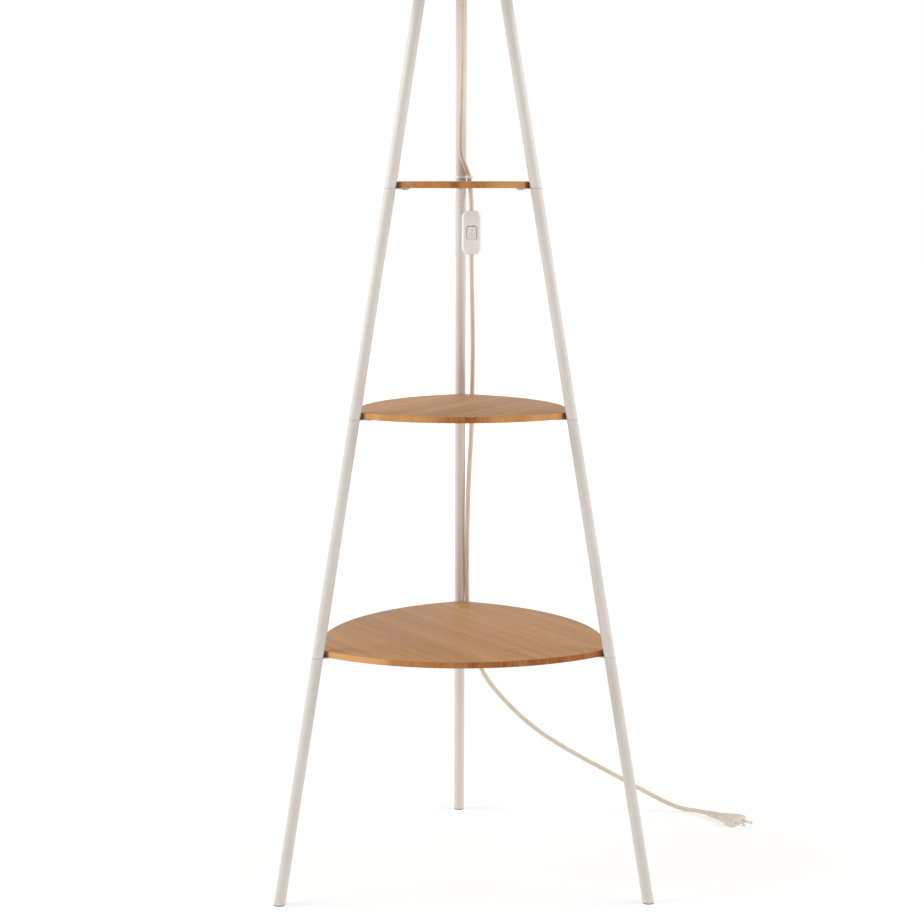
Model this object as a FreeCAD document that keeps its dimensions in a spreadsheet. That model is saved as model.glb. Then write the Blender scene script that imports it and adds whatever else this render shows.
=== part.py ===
import FreeCAD, Part
import math
import os
import re

import Sketcher
from FreeCAD import Placement, Rotation, Vector

# A floor lamp on three leaning steel tubes that carry three wooden shelves. +Z is up, the
# origin is on the lamp's middle axis at floor level, and the rear leg stands on +Y.

doc = FreeCAD.newDocument("shelf_floor_lamp")

# Driving sizes in millimetres: name, value, meaning.
SIZES = (
    # legs
    ("tube_diameter", 16.0, "outer diameter of a leg tube"),
    ("tube_wall", 1.5, "wall of a leg tube"),
    ("foot_circle_radius", 305.0, "leg axis to lamp axis at the floor"),
    ("hub_circle_radius", 59.2, "leg axis to lamp axis under the hub plate"),
    ("hub_height", 1340.0, "floor to the underside of the hub plate"),
    ("foot_cap_height", 5.0, "foot cap below the tube"),
    ("foot_cap_proud", 0.25, "foot cap proud of the tube"),
    ("foot_stem_length", 14.0, "foot cap inside the tube"),
    ("foot_pad_thickness", 1.2, "felt pad under a foot cap"),
    ("foot_pad_inset", 0.4, "felt pad inside the cap's outline"),
    # joints between the leg sections
    ("insert_length", 12.0, "threaded insert in a tube end"),
    ("stud_diameter", 6.0, "joining stud"),
    ("stud_reach", 9.0, "joining stud inside each insert"),
    ("press_clearance", 0.05, "radial clearance of inserts, stems and threads"),
    ("bracket_thickness", 1.6, "steel bracket clamped between two leg sections"),
    ("bracket_width", 14.0, "bracket tab"),
    ("bracket_reach", 31.0, "bracket tab's end from the leg axis"),
    ("bracket_proud", 0.15, "bracket's seam proud of the tube"),
    # shelves
    ("low_shelf_height", 353.9, "floor to the bottom shelf's underside"),
    ("middle_shelf_height", 691.1, "floor to the middle shelf's underside"),
    ("top_shelf_height", 1015.8, "floor to the top shelf's underside"),
    ("shelf_thickness", 9.0, "shelf board"),
    ("shelf_tip_clearance", 0.5, "shelf's cut tip to the leg"),
    ("shelf_tip_blunt", 2.3, "length cut off each corner"),
    ("shelf_bulge", 0.826, "shelf's radius halfway along an edge, as a share of its corner radius"),
    ("shelf_screw_offset", 24.0, "shelf screw from the leg axis"),
    ("shelf_screw_diameter", 3.5, "shelf screw's shank"),
    ("shelf_screw_bite", 7.0, "shelf screw inside the board"),
    ("shelf_screw_head_diameter", 8.0, "shelf screw's head"),
    ("shelf_screw_head_height", 1.3, "shelf screw's head"),
    ("screw_clearance", 0.1, "radial clearance round screws"),
    # hub
    ("hub_plate_diameter", 140.0, "hub plate"),
    ("hub_plate_thickness", 4.0, "hub plate"),
    ("hub_screw_head_diameter", 11.0, "hub screw's head"),
    ("hub_screw_head_height", 3.3, "hub screw's head"),
    ("hub_screw_socket", 4.0, "hub screw's hexagon socket"),
    ("nipple_diameter", 13.0, "threaded tube through the hub plate"),
    ("nipple_bore", 9.0, "its bore"),
    ("nipple_above", 12.0, "its length above the hub plate's top"),
    ("nipple_below", 14.0, "its length below the hub plate"),
    ("nipple_sink", 0.5, "space under the nipple inside the cord grip"),
    ("nipple_nut_width", 19.0, "nut under the hub plate, across flats"),
    ("nipple_nut_thickness", 4.0, "nut under the hub plate"),
    ("grip_diameter", 17.0, "cord grip under the nut"),
    ("grip_length", 21.0, "cord grip"),
    ("grip_gap", 0.3, "nut to cord grip"),
    ("grip_chamfer_depth", 2.0, "cord grip's lower edge, across"),
    ("grip_chamfer_height", 4.0, "cord grip's lower edge, upwards"),
    # lampholder, measured up from the hub plate's top
    ("holder_diameter", 41.0, "lampholder"),
    ("holder_wall", 2.0, "lampholder's walls"),
    ("holder_cap_height", 16.0, "lampholder's lower cap"),
    ("holder_cap_floor", 8.0, "threaded floor of the lower cap"),
    ("holder_cap_chamfer", 3.0, "lower cap's bottom edge"),
    ("holder_rim_height", 5.0, "rim that the insulating block rests on"),
    ("holder_block_height", 8.0, "insulating block with the contacts"),
    ("holder_height", 58.0, "lampholder in all"),
    ("holder_thread_step", 0.8, "upper shell drawn in for the shade rings"),
    ("holder_mouth_diameter", 27.2, "bore for the bulb's cap"),
    ("contact_thickness", 0.5, "brass contact strips"),
    ("contact_width", 5.0, "brass contact strips"),
    ("contact_overhang", 2.0, "contact strips past their wires"),
    ("side_leaf_thickness", 0.35, "contact leaf beside the bulb's cap"),
    ("side_leaf_height", 12.0, "contact leaf beside the bulb's cap"),
    ("wire_diameter", 2.2, "insulated wires inside the lampholder"),
    ("wire_spread", 9.0, "wires from the lamp axis where they enter the block"),
    # bulb
    ("bulb_cap_diameter", 26.2, "bulb's screw cap"),
    ("bulb_cap_height", 25.0, "bulb's screw cap"),
    ("bulb_contact_diameter", 10.0, "bulb's end contact"),
    ("bulb_contact_height", 1.2, "bulb's end contact"),
    ("bulb_cap_chamfer_depth", 2.6, "bulb's screw cap, edge at its end"),
    ("bulb_cap_chamfer_height", 4.0, "bulb's screw cap, edge at its end"),
    ("bulb_base_height", 28.0, "bulb's opaque base"),
    ("bulb_globe_diameter", 60.0, "bulb's globe"),
    ("bulb_globe_wall", 1.0, "bulb's globe"),
    # shade
    ("shade_diameter", 380.0, "shade outside"),
    ("shade_height", 240.0, "shade from rim to rim"),
    ("carrier_drop", 74.0, "shade's lower rim below the carrier's middle ring"),
    ("shade_skin", 1.0, "fabric on its backing"),
    ("shade_wire", 3.0, "wire of the rings"),
    ("shade_arm_wire", 3.5, "wire of the three arms"),
    ("shade_glue_gap", 0.1, "ring to skin"),
    ("carrier_ring_radius", 31.0, "outer radius of the carrier's middle ring"),
    ("carrier_ring_thickness", 1.5, "carrier's middle ring"),
    ("clamp_ring_diameter", 54.0, "screw rings that hold the carrier"),
    ("clamp_ring_height", 4.0, "screw rings that hold the carrier"),
    ("clamp_ring_level", 34.0, "lower screw ring above the hub plate"),
    # cord and its clip
    ("cord_diameter", 7.0, "mains cord"),
    ("cord_clearance", 0.1, "radial clearance round the cord in its entries"),
    ("clip_wall", 1.4, "wall of the cable clip"),
    ("clip_height", 4.6, "height of the cable clip"),
    ("clip_above_shelf", 12.2, "top shelf's underside to the cable clip"),
    ("clip_cord_space", 1.45, "radial space round the cord in its ring"),
    # inline switch
    ("switch_width", 29.0, "switch body"),
    ("switch_length", 65.0, "switch body"),
    ("switch_depth", 16.0, "switch body, front to back"),
    ("switch_corner_width", 5.2, "cut corner across the body"),
    ("switch_corner_length", 6.5, "cut corner along the body"),
    ("switch_bevel", 3.0, "depth of the front's bevelled border"),
    ("switch_wall", 2.0, "walls of the two housings"),
    ("switch_post_diameter", 4.8, "screw posts inside"),
    ("switch_screw_diameter", 2.4, "switch screws"),
    ("switch_screw_head_diameter", 4.0, "switch screws' heads"),
    ("switch_screw_head_height", 1.4, "switch screws' heads"),
    ("switch_screw_sink", 0.1, "screw heads below the back"),
    ("switch_cheek_thickness", 1.6, "cheeks beside the rocker"),
    ("switch_cheek_length", 7.0, "cheeks beside the rocker"),
    ("switch_pivot_reach", 1.3, "pivot bore into each cheek"),
    ("terminal_width", 7.0, "terminal blocks"),
    ("terminal_length", 6.0, "terminal blocks"),
    ("terminal_offset", 16.0, "terminal blocks from the switch's middle"),
    ("terminal_front", 1.6, "terminals in front of the housings' seam"),
    ("leaf_width", 4.0, "terminal leaves"),
    ("leaf_length", 11.0, "terminal leaves"),
    ("leaf_offset", 9.0, "terminal leaves from the switch's middle"),
    ("rocker_width", 13.6, "rocker"),
    ("rocker_length", 19.2, "rocker"),
    ("rocker_clearance", 0.6, "rocker to the edge of its opening"),
    ("rocker_throw", 14.0, "rocker's travel, in degrees"),
    ("rocker_rise", 1.3, "rocker's ends above its middle"),
    ("rocker_proud", 0.9, "rocker's middle proud of the front"),
    ("rocker_heel_depth", 1.2, "rocker's heel behind its pivot"),
    ("rocker_heel_length", 6.0, "rocker's heel"),
    ("rocker_skirt_rise", 0.2, "rocker's ends from its middle's line, at the back"),
    ("rocker_pivot_depth", 2.5, "pivot below the front"),
    ("rocker_pin_diameter", 2.4, "pivot pin"),
    ("pin_clearance", 0.05, "running clearance of the pivot pin"),
    # plug
    ("plug_length", 36.0, "plug body"),
    ("plug_width", 35.3, "plug body at its face"),
    ("plug_thickness", 13.7, "plug body"),
    ("plug_pin_diameter", 4.0, "plug pins"),
    ("plug_pin_length", 19.0, "plug pins, free length"),
    ("plug_pin_seat", 8.0, "plug pins inside the body"),
    ("plug_pin_root_diameter", 3.0, "plug pins inside the body"),
    ("plug_pin_pitch", 18.6, "plug pins, axis to axis"),
    ("plug_floor_gap", 0.05, "plug body above the floor"),
    ("relief_length", 28.0, "plug's tapered strain relief"),
    ("relief_seat", 10.0, "cord inside the strain relief"),
    ("relief_diameter", 12.4, "strain relief at the plug"),
    ("relief_tip_diameter", 9.4, "strain relief at the cord"),
)

# Routes of the cord's two free stretches, as points in millimetres, drawn for the sizes above.
UPPER_DRAWN = (
    (0.0, 0.0, 1326.0), (0.0, 0.0, 1290.0), (0.0, 10.0, 1240.0), (0.5, 34.0, 1184.0), (0.0, 60.0, 1134.0),
    (-1.4, 82.0, 1092.0), (-0.6, 96.5, 1064.0), (6.4, 101.4, 1047.0), (12.4, 109.4, 1031.0),
    (14.0, 113.2, 1014.5), (15.6, 109.0, 995.0), (15.6, 109.0, 976.0),
)
LOWER_DRAWN = (
    (15.6, 109.0, 921.0), (15.6, 109.0, 892.0), (17.2, 122.0, 842.0), (18.6, 145.0, 778.0),
    (18.4, 170.0, 710.0), (17.8, 186.0, 640.0), (13.8, 196.0, 570.0), (11.6, 206.0, 500.0),
    (11.2, 221.0, 430.0), (11.6, 236.0, 362.0), (16.2, 241.0, 300.0), (36.0, 242.0, 242.0),
    (74.0, 245.0, 194.5), (122.0, 249.0, 148.0), (181.0, 254.0, 109.0), (243.0, 263.0, 73.0),
    (302.0, 275.0, 37.0), (342.0, 284.0, 13.0), (370.0, 281.0, 3.4), (391.0, 263.0, 6.9),
    (410.0, 243.0, 6.9),
)
# The floor circle and hub circle for which the routes were drawn, and the heights that they follow.
DRAWN_FOOT_RADIUS = 305.0
DRAWN_LEAN = (305.0 - 59.2) / 1340.0
ROUTE_LEVELS = (
    (0.0, "0"), (20.0, "20"), (353.9, "low_shelf_height"), (691.1, "middle_shelf_height"),
    (1015.8, "top_shelf_height"), (1326.0, "(hub_height - nipple_below)"),
)

LEGS = (("rear", 90.0), ("left", 210.0), ("right", 330.0))

sheet = doc.addObject("Spreadsheet::Sheet", "Sizes")
for row, (alias, value, meaning) in enumerate(SIZES, start=1):
    sheet.set("A%d" % row, meaning)
    sheet.set("B%d" % row, str(value))
    sheet.setAlias("B%d" % row, alias)
doc.recompute()

ALIASES = re.compile(r"\b(%s)\b" % "|".join(alias for alias, value, meaning in SIZES))
PLACES = {
    "x": "Placement.Base.x",
    "y": "Placement.Base.y",
    "z": "Placement.Base.z",
    "turn": "Placement.Rotation.Angle",
}
nodes = []


def in_cells(formula):
    """The formula with each size's name pointing at its cell."""
    return ALIASES.sub(r"Sizes.\1", formula)


def bind(piece, **formulas):
    for name, formula in formulas.items():
        piece.setExpression(PLACES.get(name, name), in_cells(formula))
    return piece


def measure(formula):
    """A formula's value in millimetres."""
    return float(sheet.evalExpression(in_cells(formula)))


def node(piece, label):
    """Keeps a finished sub-part under its own name."""
    piece.Label = label
    nodes.append(piece)
    return piece


# ---- primitives bound to the sheet


def cylinder(name, radius, height, **place):
    piece = doc.addObject("Part::Cylinder", name)
    return bind(piece, Radius=radius, Height=height, **place)


def block(name, length, width, height, **place):
    piece = doc.addObject("Part::Box", name)
    return bind(piece, Length=length, Width=width, Height=height, **place)


def prism(name, across_flats, height, **place):
    piece = doc.addObject("Part::Prism", name)
    piece.Polygon = 6
    return bind(piece, Circumradius="(%s) / 2 / cos(30)" % across_flats, Height=height, **place)


def cut(name, base, tools):
    tool = tools[0] if len(tools) == 1 else fuse(name + "_tools", tools)
    piece = doc.addObject("Part::Cut", name)
    piece.Base = base
    piece.Tool = tool
    return piece


def fuse(name, shapes):
    piece = doc.addObject("Part::MultiFuse", name)
    piece.Shapes = shapes
    piece.Refine = True
    return piece


def common(name, shapes):
    piece = doc.addObject("Part::MultiCommon", name)
    piece.Shapes = shapes
    return piece


def group(name, pieces, azimuth=0.0):
    """Several solids kept together, turned about the lamp's axis."""
    piece = doc.addObject("Part::Compound", name)
    piece.Links = pieces
    piece.Placement = Placement(Vector(), Rotation(Vector(0, 0, 1), azimuth))
    return piece


def turned(piece, azimuth):
    piece.Placement = Placement(Vector(), Rotation(Vector(0, 0, 1), azimuth))
    return piece


# ---- sketched bodies


def outline(body, name, plane_role, corners):
    """A closed, fully constrained polygon on one of the body's own planes."""
    sketch = body.newObject("Sketcher::SketchObject", name)
    plane = [feature for feature in body.Origin.OriginFeatures if feature.Role == plane_role][0]
    sketch.AttachmentSupport = [(plane, "")]
    sketch.MapMode = "FlatFace"
    points = [Vector(measure(across), measure(along), 0) for across, along in corners]
    for start, end in zip(points, points[1:] + points[:1]):
        sketch.addGeometry(Part.LineSegment(start, end), False)
    for index in range(len(points)):
        sketch.addConstraint(Sketcher.Constraint("Coincident", index, 2, (index + 1) % len(points), 1))
    for index, (corner, point) in enumerate(zip(corners, points)):
        for kind, axis, formula, value in (("DistanceX", -2, corner[0], point.x),
                                           ("DistanceY", -1, corner[1], point.y)):
            if abs(value) < 1e-9:
                sketch.addConstraint(Sketcher.Constraint("PointOnObject", index, 1, axis))
                continue
            number = sketch.addConstraint(Sketcher.Constraint(kind, -1, 1, index, 1, value))
            sketch.setExpression("Constraints[%d]" % number, in_cells(formula))
    return sketch


def revolved(name, corners, **place):
    """A round piece from its half section: corners are radius and height."""
    body = doc.addObject("PartDesign::Body", name)
    sketch = outline(body, name + "_section", "XZ_Plane", corners)
    feature = body.newObject("PartDesign::Revolution", name + "_turn")
    feature.Profile = sketch
    feature.ReferenceAxis = (sketch, ["V_Axis"])
    feature.Angle = 360.0
    return bind(body, **place)


def padded(name, plane_role, corners, length, taper=0.0, midplane=False, backwards=False, **place):
    """A plate or block from its outline."""
    body = doc.addObject("PartDesign::Body", name)
    sketch = outline(body, name + "_outline", plane_role, corners)
    feature = body.newObject("PartDesign::Pad", name + "_pad")
    feature.Profile = sketch
    feature.TaperAngle = taper
    feature.Midplane = midplane
    feature.Reversed = backwards
    bind(feature, Length=length)
    return bind(body, **place)


# ---- the leaning legs, drawn as if each stood on +X and then turned to its place

LEAN = "((foot_circle_radius - hub_circle_radius) / hub_height)"
TUBE_BORE = "(tube_diameter / 2 - tube_wall)"
HUB_TOP = "(hub_height + hub_plate_thickness)"


def leg_radius(height):
    """Distance of a leg's axis from the lamp's axis at a height."""
    return "(foot_circle_radius - %s * (%s))" % (LEAN, height)


def leaning_rod(name, radius, low, high):
    start = "((%s) - 2 * tube_diameter)" % low
    rod = doc.addObject("Part::Cylinder", name)
    rod.Placement = Placement(Vector(), Rotation(Vector(0, -1, 0), 1))
    length = "((%s) - (%s) + 4 * tube_diameter) / cos(atan(%s))" % (high, low, LEAN)
    return bind(rod, Radius=radius, Height=length, x=leg_radius(start), z=start, turn="atan(%s)" % LEAN)


def level_slab(name, low, high):
    """The space between two levels round a leg."""
    return block(name, "%s - %s + 4 * tube_diameter" % (leg_radius(low), leg_radius(high)),
                 "4 * tube_diameter", "(%s) - (%s)" % (high, low),
                 x="%s - 2 * tube_diameter" % leg_radius(high), y="-2 * tube_diameter", z=low)


def leaning_piece(name, radius, low, high, azimuth=0.0, bore=None):
    """A length of leaning rod or tube, cut level at both ends."""
    body = leaning_rod(name + "_rod", radius, low, high)
    if bore is not None:
        body = cut(name + "_hollow", body, [leaning_rod(name + "_bore", bore, low, high)])
    return turned(common(name, [body, level_slab(name + "_slab", low, high)]), azimuth)


FOOT_TOP = "(foot_pad_thickness + foot_cap_height)"
SHELVES = ("low", "middle", "top")
SHELF_NODES = {"low": "bottom_shelf", "middle": "middle_shelf", "top": "top_shelf"}
SEAMS = ["%s_shelf_height" % shelf for shelf in SHELVES]
SECTIONS = (
    ("foot", FOOT_TOP, SEAMS[0] + " - bracket_thickness"),
    ("lower", SEAMS[0], SEAMS[1] + " - bracket_thickness"),
    ("middle", SEAMS[1], SEAMS[2] + " - bracket_thickness"),
    ("upper", SEAMS[2], "hub_height"),
)


def leg_tubes(side, azimuth):
    for section, low, high in SECTIONS:
        label = "%s_leg_%s_tube" % (side, section)
        node(leaning_piece(label, "tube_diameter / 2", low, high, azimuth, TUBE_BORE), label)


def foot_pad(side, azimuth):
    return leaning_piece(side + "_foot_pad", "tube_diameter / 2 - foot_pad_inset", "0", "foot_pad_thickness",
                         azimuth)


def foot_cap(side, azimuth):
    cap = side + "_foot_cap"
    skirt = leaning_piece(cap + "_skirt", "tube_diameter / 2 + foot_cap_proud", "foot_pad_thickness",
                          FOOT_TOP)
    stem = leaning_piece(cap + "_stem", TUBE_BORE + " - press_clearance", FOOT_TOP,
                         FOOT_TOP + " + foot_stem_length")
    node(turned(fuse(cap, [skirt, stem]), azimuth), cap)


def seam_middle(seam):
    return leg_radius("%s - bracket_thickness / 2" % seam)


def thread_insert(name, low, high, hole_radius):
    """A plug in a tube's end with an upright threaded hole."""
    plug = leaning_piece(name + "_plug", TUBE_BORE + " - press_clearance", low, high)
    hole = cylinder(name + "_hole", "stud_diameter / 2 + press_clearance", "(%s) - (%s) + 2" % (high, low),
                    x=hole_radius, z="(%s) - 1" % low)
    return cut(name, plug, [hole])


def thread_inserts(side, azimuth):
    pieces = []
    for shelf, seam in zip(SHELVES, SEAMS):
        name = "%s_%s_insert" % (side, shelf)
        under = seam + " - bracket_thickness"
        pieces.append(thread_insert(name + "_under", under + " - insert_length", under, seam_middle(seam)))
        pieces.append(thread_insert(name + "_over", seam, seam + " + insert_length", seam_middle(seam)))
    pieces.append(thread_insert(side + "_hub_insert", "hub_height - insert_length", "hub_height",
                                "hub_circle_radius"))
    return group(side + "_inserts", pieces, azimuth)


def joining_studs(side, azimuth):
    pieces = []
    for shelf, seam in zip(SHELVES, SEAMS):
        pieces.append(cylinder("%s_%s_stud" % (side, shelf), "stud_diameter / 2",
                               "bracket_thickness + 2 * stud_reach",
                               x=seam_middle(seam), z=seam + " - bracket_thickness - stud_reach"))
    return group(side + "_studs", pieces, azimuth)


def bracket(side, shelf, seam, azimuth):
    """A flat steel tab clamped in the leg's seam and screwed under the shelf."""
    label = "%s_%s_bracket" % (side, shelf)
    thickness = "bracket_thickness"
    level = seam + " - bracket_thickness"
    tab_end = seam_middle(seam) + " - bracket_reach + bracket_width / 2"
    eye = cylinder(label + "_eye", "tube_diameter / 2 / cos(atan(%s)) + bracket_proud" % LEAN, thickness,
                   x=seam_middle(seam), z=level)
    strip = block(label + "_strip", "bracket_reach - bracket_width / 2", "bracket_width", thickness,
                  x=tab_end, y="-bracket_width / 2", z=level)
    end = cylinder(label + "_end", "bracket_width / 2", thickness, x=tab_end, z=level)
    stud_hole = cylinder(label + "_stud_hole", "stud_diameter / 2 + screw_clearance", thickness,
                         x=seam_middle(seam), z=level)
    screw_hole = cylinder(label + "_screw_hole", "shelf_screw_diameter / 2 + screw_clearance", thickness,
                          x=seam_middle(seam) + " - shelf_screw_offset", z=level)
    plate = fuse(label + "_plate", [eye, strip, end])
    node(turned(cut(label, plate, [stud_hole, screw_hole]), azimuth), label)


def shelf_screws(side, azimuth):
    pieces = []
    for shelf, seam in zip(SHELVES, SEAMS):
        name = "%s_%s_screw" % (side, shelf)
        place = seam_middle(seam) + " - shelf_screw_offset"
        under = seam + " - bracket_thickness"
        head = cylinder(name + "_head", "shelf_screw_head_diameter / 2", "shelf_screw_head_height",
                        x=place, z=under + " - shelf_screw_head_height")
        shank = cylinder(name + "_shank", "shelf_screw_diameter / 2", "bracket_thickness + shelf_screw_bite",
                         x=place, z=under)
        slot = block(name + "_slot", "shelf_screw_head_diameter * 0.6", "1", "shelf_screw_head_height / 2",
                     x=place + " - shelf_screw_head_diameter * 0.3", y="-0.5",
                     z=under + " - shelf_screw_head_height")
        cross = block(name + "_cross", "1", "shelf_screw_head_diameter * 0.6", "shelf_screw_head_height / 2",
                      x=place + " - 0.5", y="-shelf_screw_head_diameter * 0.3",
                      z=under + " - shelf_screw_head_height")
        pieces.append(cut(name, fuse(name + "_body", [head, shank]), [slot, cross]))
    return group(side + "_shelf_screws", pieces, azimuth)


def shelf(which, seam):
    """A triangle of three long arcs whose corners are cut off flat where the legs pass."""
    label = SHELF_NODES[which]
    top = seam + " + shelf_thickness"
    tip = "(%s - tube_diameter / 2 / cos(atan(%s)) - shelf_tip_clearance)" % (leg_radius(top), LEAN)
    corner = "(%s + shelf_tip_blunt)" % tip
    offset = "(%s * (1 - shelf_bulge * shelf_bulge) / (2 * shelf_bulge - 1))" % corner
    discs = []
    cuts = []
    for side, azimuth in LEGS:
        disc = cylinder("%s_%s_disc" % (label, side), "%s + shelf_bulge * %s" % (offset, corner),
                        "shelf_thickness", x=offset, z=seam)
        discs.append(group("%s_%s_side" % (label, side), [disc], azimuth))
        tip_block = block("%s_%s_tip" % (label, side), "tube_diameter", "4 * tube_diameter",
                          "shelf_thickness", x=tip, y="-2 * tube_diameter", z=seam)
        pilot = cylinder("%s_%s_pilot" % (label, side), "shelf_screw_diameter / 2 + press_clearance",
                         "shelf_screw_bite + 0.5", x=seam_middle(seam) + " - shelf_screw_offset", z=seam)
        cuts.append(group("%s_%s_cuts" % (label, side), [tip_block, pilot], azimuth))
    node(cut(label, common(label + "_board", discs), cuts), label)


for side, azimuth in LEGS:
    leg_tubes(side, azimuth)
    foot_cap(side, azimuth)
    for which, seam in zip(SHELVES, SEAMS):
        bracket(side, which, seam, azimuth)
node(group("foot_pads", [foot_pad(side, azimuth) for side, azimuth in LEGS]), "foot_pads")
node(group("leg_thread_inserts", [thread_inserts(side, azimuth) for side, azimuth in LEGS]),
     "leg_thread_inserts")
node(group("leg_joining_studs", [joining_studs(side, azimuth) for side, azimuth in LEGS]),
     "leg_joining_studs")
node(group("shelf_screws", [shelf_screws(side, azimuth) for side, azimuth in LEGS]), "shelf_screws")
for which, seam in zip(SHELVES, SEAMS):
    shelf(which, seam)


# ---- hub


def hub_plate():
    plate = cylinder("hub_disc", "hub_plate_diameter / 2", "hub_plate_thickness", z="hub_height")
    holes = [cylinder("hub_middle_hole", "nipple_diameter / 2 + screw_clearance", "hub_plate_thickness",
                      z="hub_height")]
    for side, azimuth in LEGS:
        hole = cylinder("hub_%s_hole" % side, "stud_diameter / 2 + screw_clearance", "hub_plate_thickness",
                        x="hub_circle_radius", z="hub_height")
        holes.append(group("hub_%s_hole_turned" % side, [hole], azimuth))
    node(cut("hub_plate", plate, holes), "hub_plate")


def hub_screw(side, azimuth):
    name = side + "_hub_screw"
    head = cylinder(name + "_head", "hub_screw_head_diameter / 2", "hub_screw_head_height",
                    x="hub_circle_radius", z=HUB_TOP)
    shank = cylinder(name + "_shank", "stud_diameter / 2", "hub_plate_thickness + stud_reach",
                     x="hub_circle_radius", z="hub_height - stud_reach")
    socket = prism(name + "_socket", "hub_screw_socket", "hub_screw_head_height",
                   x="hub_circle_radius", z=HUB_TOP + " + hub_screw_head_height * 0.4")
    return group(name, [cut(name + "_whole", fuse(name + "_body", [head, shank]), [socket])], azimuth)


hub_plate()
node(group("hub_screws", [hub_screw(side, azimuth) for side, azimuth in LEGS]), "hub_screws")

NIPPLE_LOW = "(hub_height - nipple_below)"
node(revolved("threaded_nipple", (
    ("nipple_bore / 2", NIPPLE_LOW),
    ("nipple_diameter / 2", NIPPLE_LOW),
    ("nipple_diameter / 2", HUB_TOP + " + nipple_above"),
    ("nipple_bore / 2", HUB_TOP + " + nipple_above"),
)), "threaded_nipple")

NUT_LOW = "(hub_height - nipple_nut_thickness)"
nut_block = prism("nipple_nut_block", "nipple_nut_width", "nipple_nut_thickness", z=NUT_LOW)
nut_hole = cylinder("nipple_nut_hole", "nipple_diameter / 2 + press_clearance", "nipple_nut_thickness",
                    z=NUT_LOW)
node(cut("nipple_nut", nut_block, [nut_hole]), "nipple_nut")

GRIP_TOP = "(%s - grip_gap)" % NUT_LOW
GRIP_LOW = "(%s - grip_length)" % GRIP_TOP
CORD_ENTRY = "(cord_diameter / 2 + cord_clearance)"
node(revolved("cord_grip", (
    (CORD_ENTRY, GRIP_LOW),
    ("grip_diameter / 2 - grip_chamfer_depth", GRIP_LOW),
    ("grip_diameter / 2", GRIP_LOW + " + grip_chamfer_height"),
    ("grip_diameter / 2", GRIP_TOP),
    ("nipple_diameter / 2 + press_clearance", GRIP_TOP),
    ("nipple_diameter / 2 + press_clearance", NIPPLE_LOW + " - nipple_sink"),
    (CORD_ENTRY, NIPPLE_LOW + " - nipple_sink"),
)), "cord_grip")


# ---- lampholder, bulb and shade, all measured up from the hub plate


def above_hub(formula):
    return "%s + %s" % (HUB_TOP, formula)


SHELL_BORE = "(holder_diameter / 2 - holder_wall)"
RIM_RADIUS = "(%s - screw_clearance)" % SHELL_BORE
BLOCK_LOW = "(holder_cap_height + holder_rim_height)"
BLOCK_TOP = "(%s + holder_block_height)" % BLOCK_LOW
THREAD_RADIUS = "(holder_diameter / 2 - holder_thread_step)"

node(revolved("lampholder_cap", (
    ("nipple_diameter / 2 + press_clearance", HUB_TOP),
    ("holder_diameter / 2 - holder_cap_chamfer", HUB_TOP),
    ("holder_diameter / 2", above_hub("holder_cap_chamfer")),
    ("holder_diameter / 2", above_hub("holder_cap_height")),
    (RIM_RADIUS, above_hub("holder_cap_height")),
    (RIM_RADIUS, above_hub(BLOCK_LOW)),
    (RIM_RADIUS + " - holder_wall", above_hub(BLOCK_LOW)),
    (RIM_RADIUS + " - holder_wall", above_hub("holder_cap_floor")),
    ("nipple_diameter / 2 + press_clearance", above_hub("holder_cap_floor")),
)), "lampholder_cap")

node(revolved("lampholder_shell", (
    (SHELL_BORE, above_hub("holder_cap_height")),
    ("holder_diameter / 2", above_hub("holder_cap_height")),
    ("holder_diameter / 2", above_hub("clamp_ring_level - 3")),
    (THREAD_RADIUS, above_hub("clamp_ring_level - 2")),
    (THREAD_RADIUS, above_hub("holder_height")),
    ("holder_mouth_diameter / 2", above_hub("holder_height")),
    ("holder_mouth_diameter / 2", above_hub(BLOCK_TOP + " + 1")),
    (SHELL_BORE, above_hub(BLOCK_TOP + " + 1")),
)), "lampholder_shell")

block_disc = cylinder("lampholder_block_disc", RIM_RADIUS, "holder_block_height", z=above_hub(BLOCK_LOW))
wire_holes = [cylinder("wire_hole_%s" % name, "wire_diameter / 2 + cord_clearance", "holder_block_height",
                       x=place, z=above_hub(BLOCK_LOW))
              for name, place in (("live", "wire_spread"), ("neutral", "-wire_spread"))]
node(cut("lampholder_block", block_disc, wire_holes), "lampholder_block")

BULB_LOW = "(%s)" % above_hub("holder_height - bulb_cap_height")
tongue_strip = block("tongue_strip", "wire_spread + 2 * contact_overhang", "contact_width",
                     "contact_thickness", x="-wire_spread - contact_overhang", y="-contact_width / 2",
                     z=above_hub(BLOCK_TOP))
tongue_button = cylinder("tongue_button", "contact_width / 2",
                         "%s - (%s) - 0.1" % (BULB_LOW, above_hub(BLOCK_TOP)), z=above_hub(BLOCK_TOP))
side_foot = block("side_foot", "holder_mouth_diameter / 2 - 0.1 - wire_spread + contact_overhang",
                  "contact_width", "contact_thickness", x="wire_spread - contact_overhang",
                  y="-contact_width / 2", z=above_hub(BLOCK_TOP))
side_leaf = block("side_leaf", "side_leaf_thickness", "contact_width * 0.4", "side_leaf_height",
                  x="holder_mouth_diameter / 2 - 0.1 - side_leaf_thickness", y="-contact_width * 0.2",
                  z=above_hub(BLOCK_TOP))
node(group("lampholder_contacts", [fuse("centre_contact", [tongue_strip, tongue_button]),
                                   fuse("side_contact", [side_foot, side_leaf])]), "lampholder_contacts")

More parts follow.
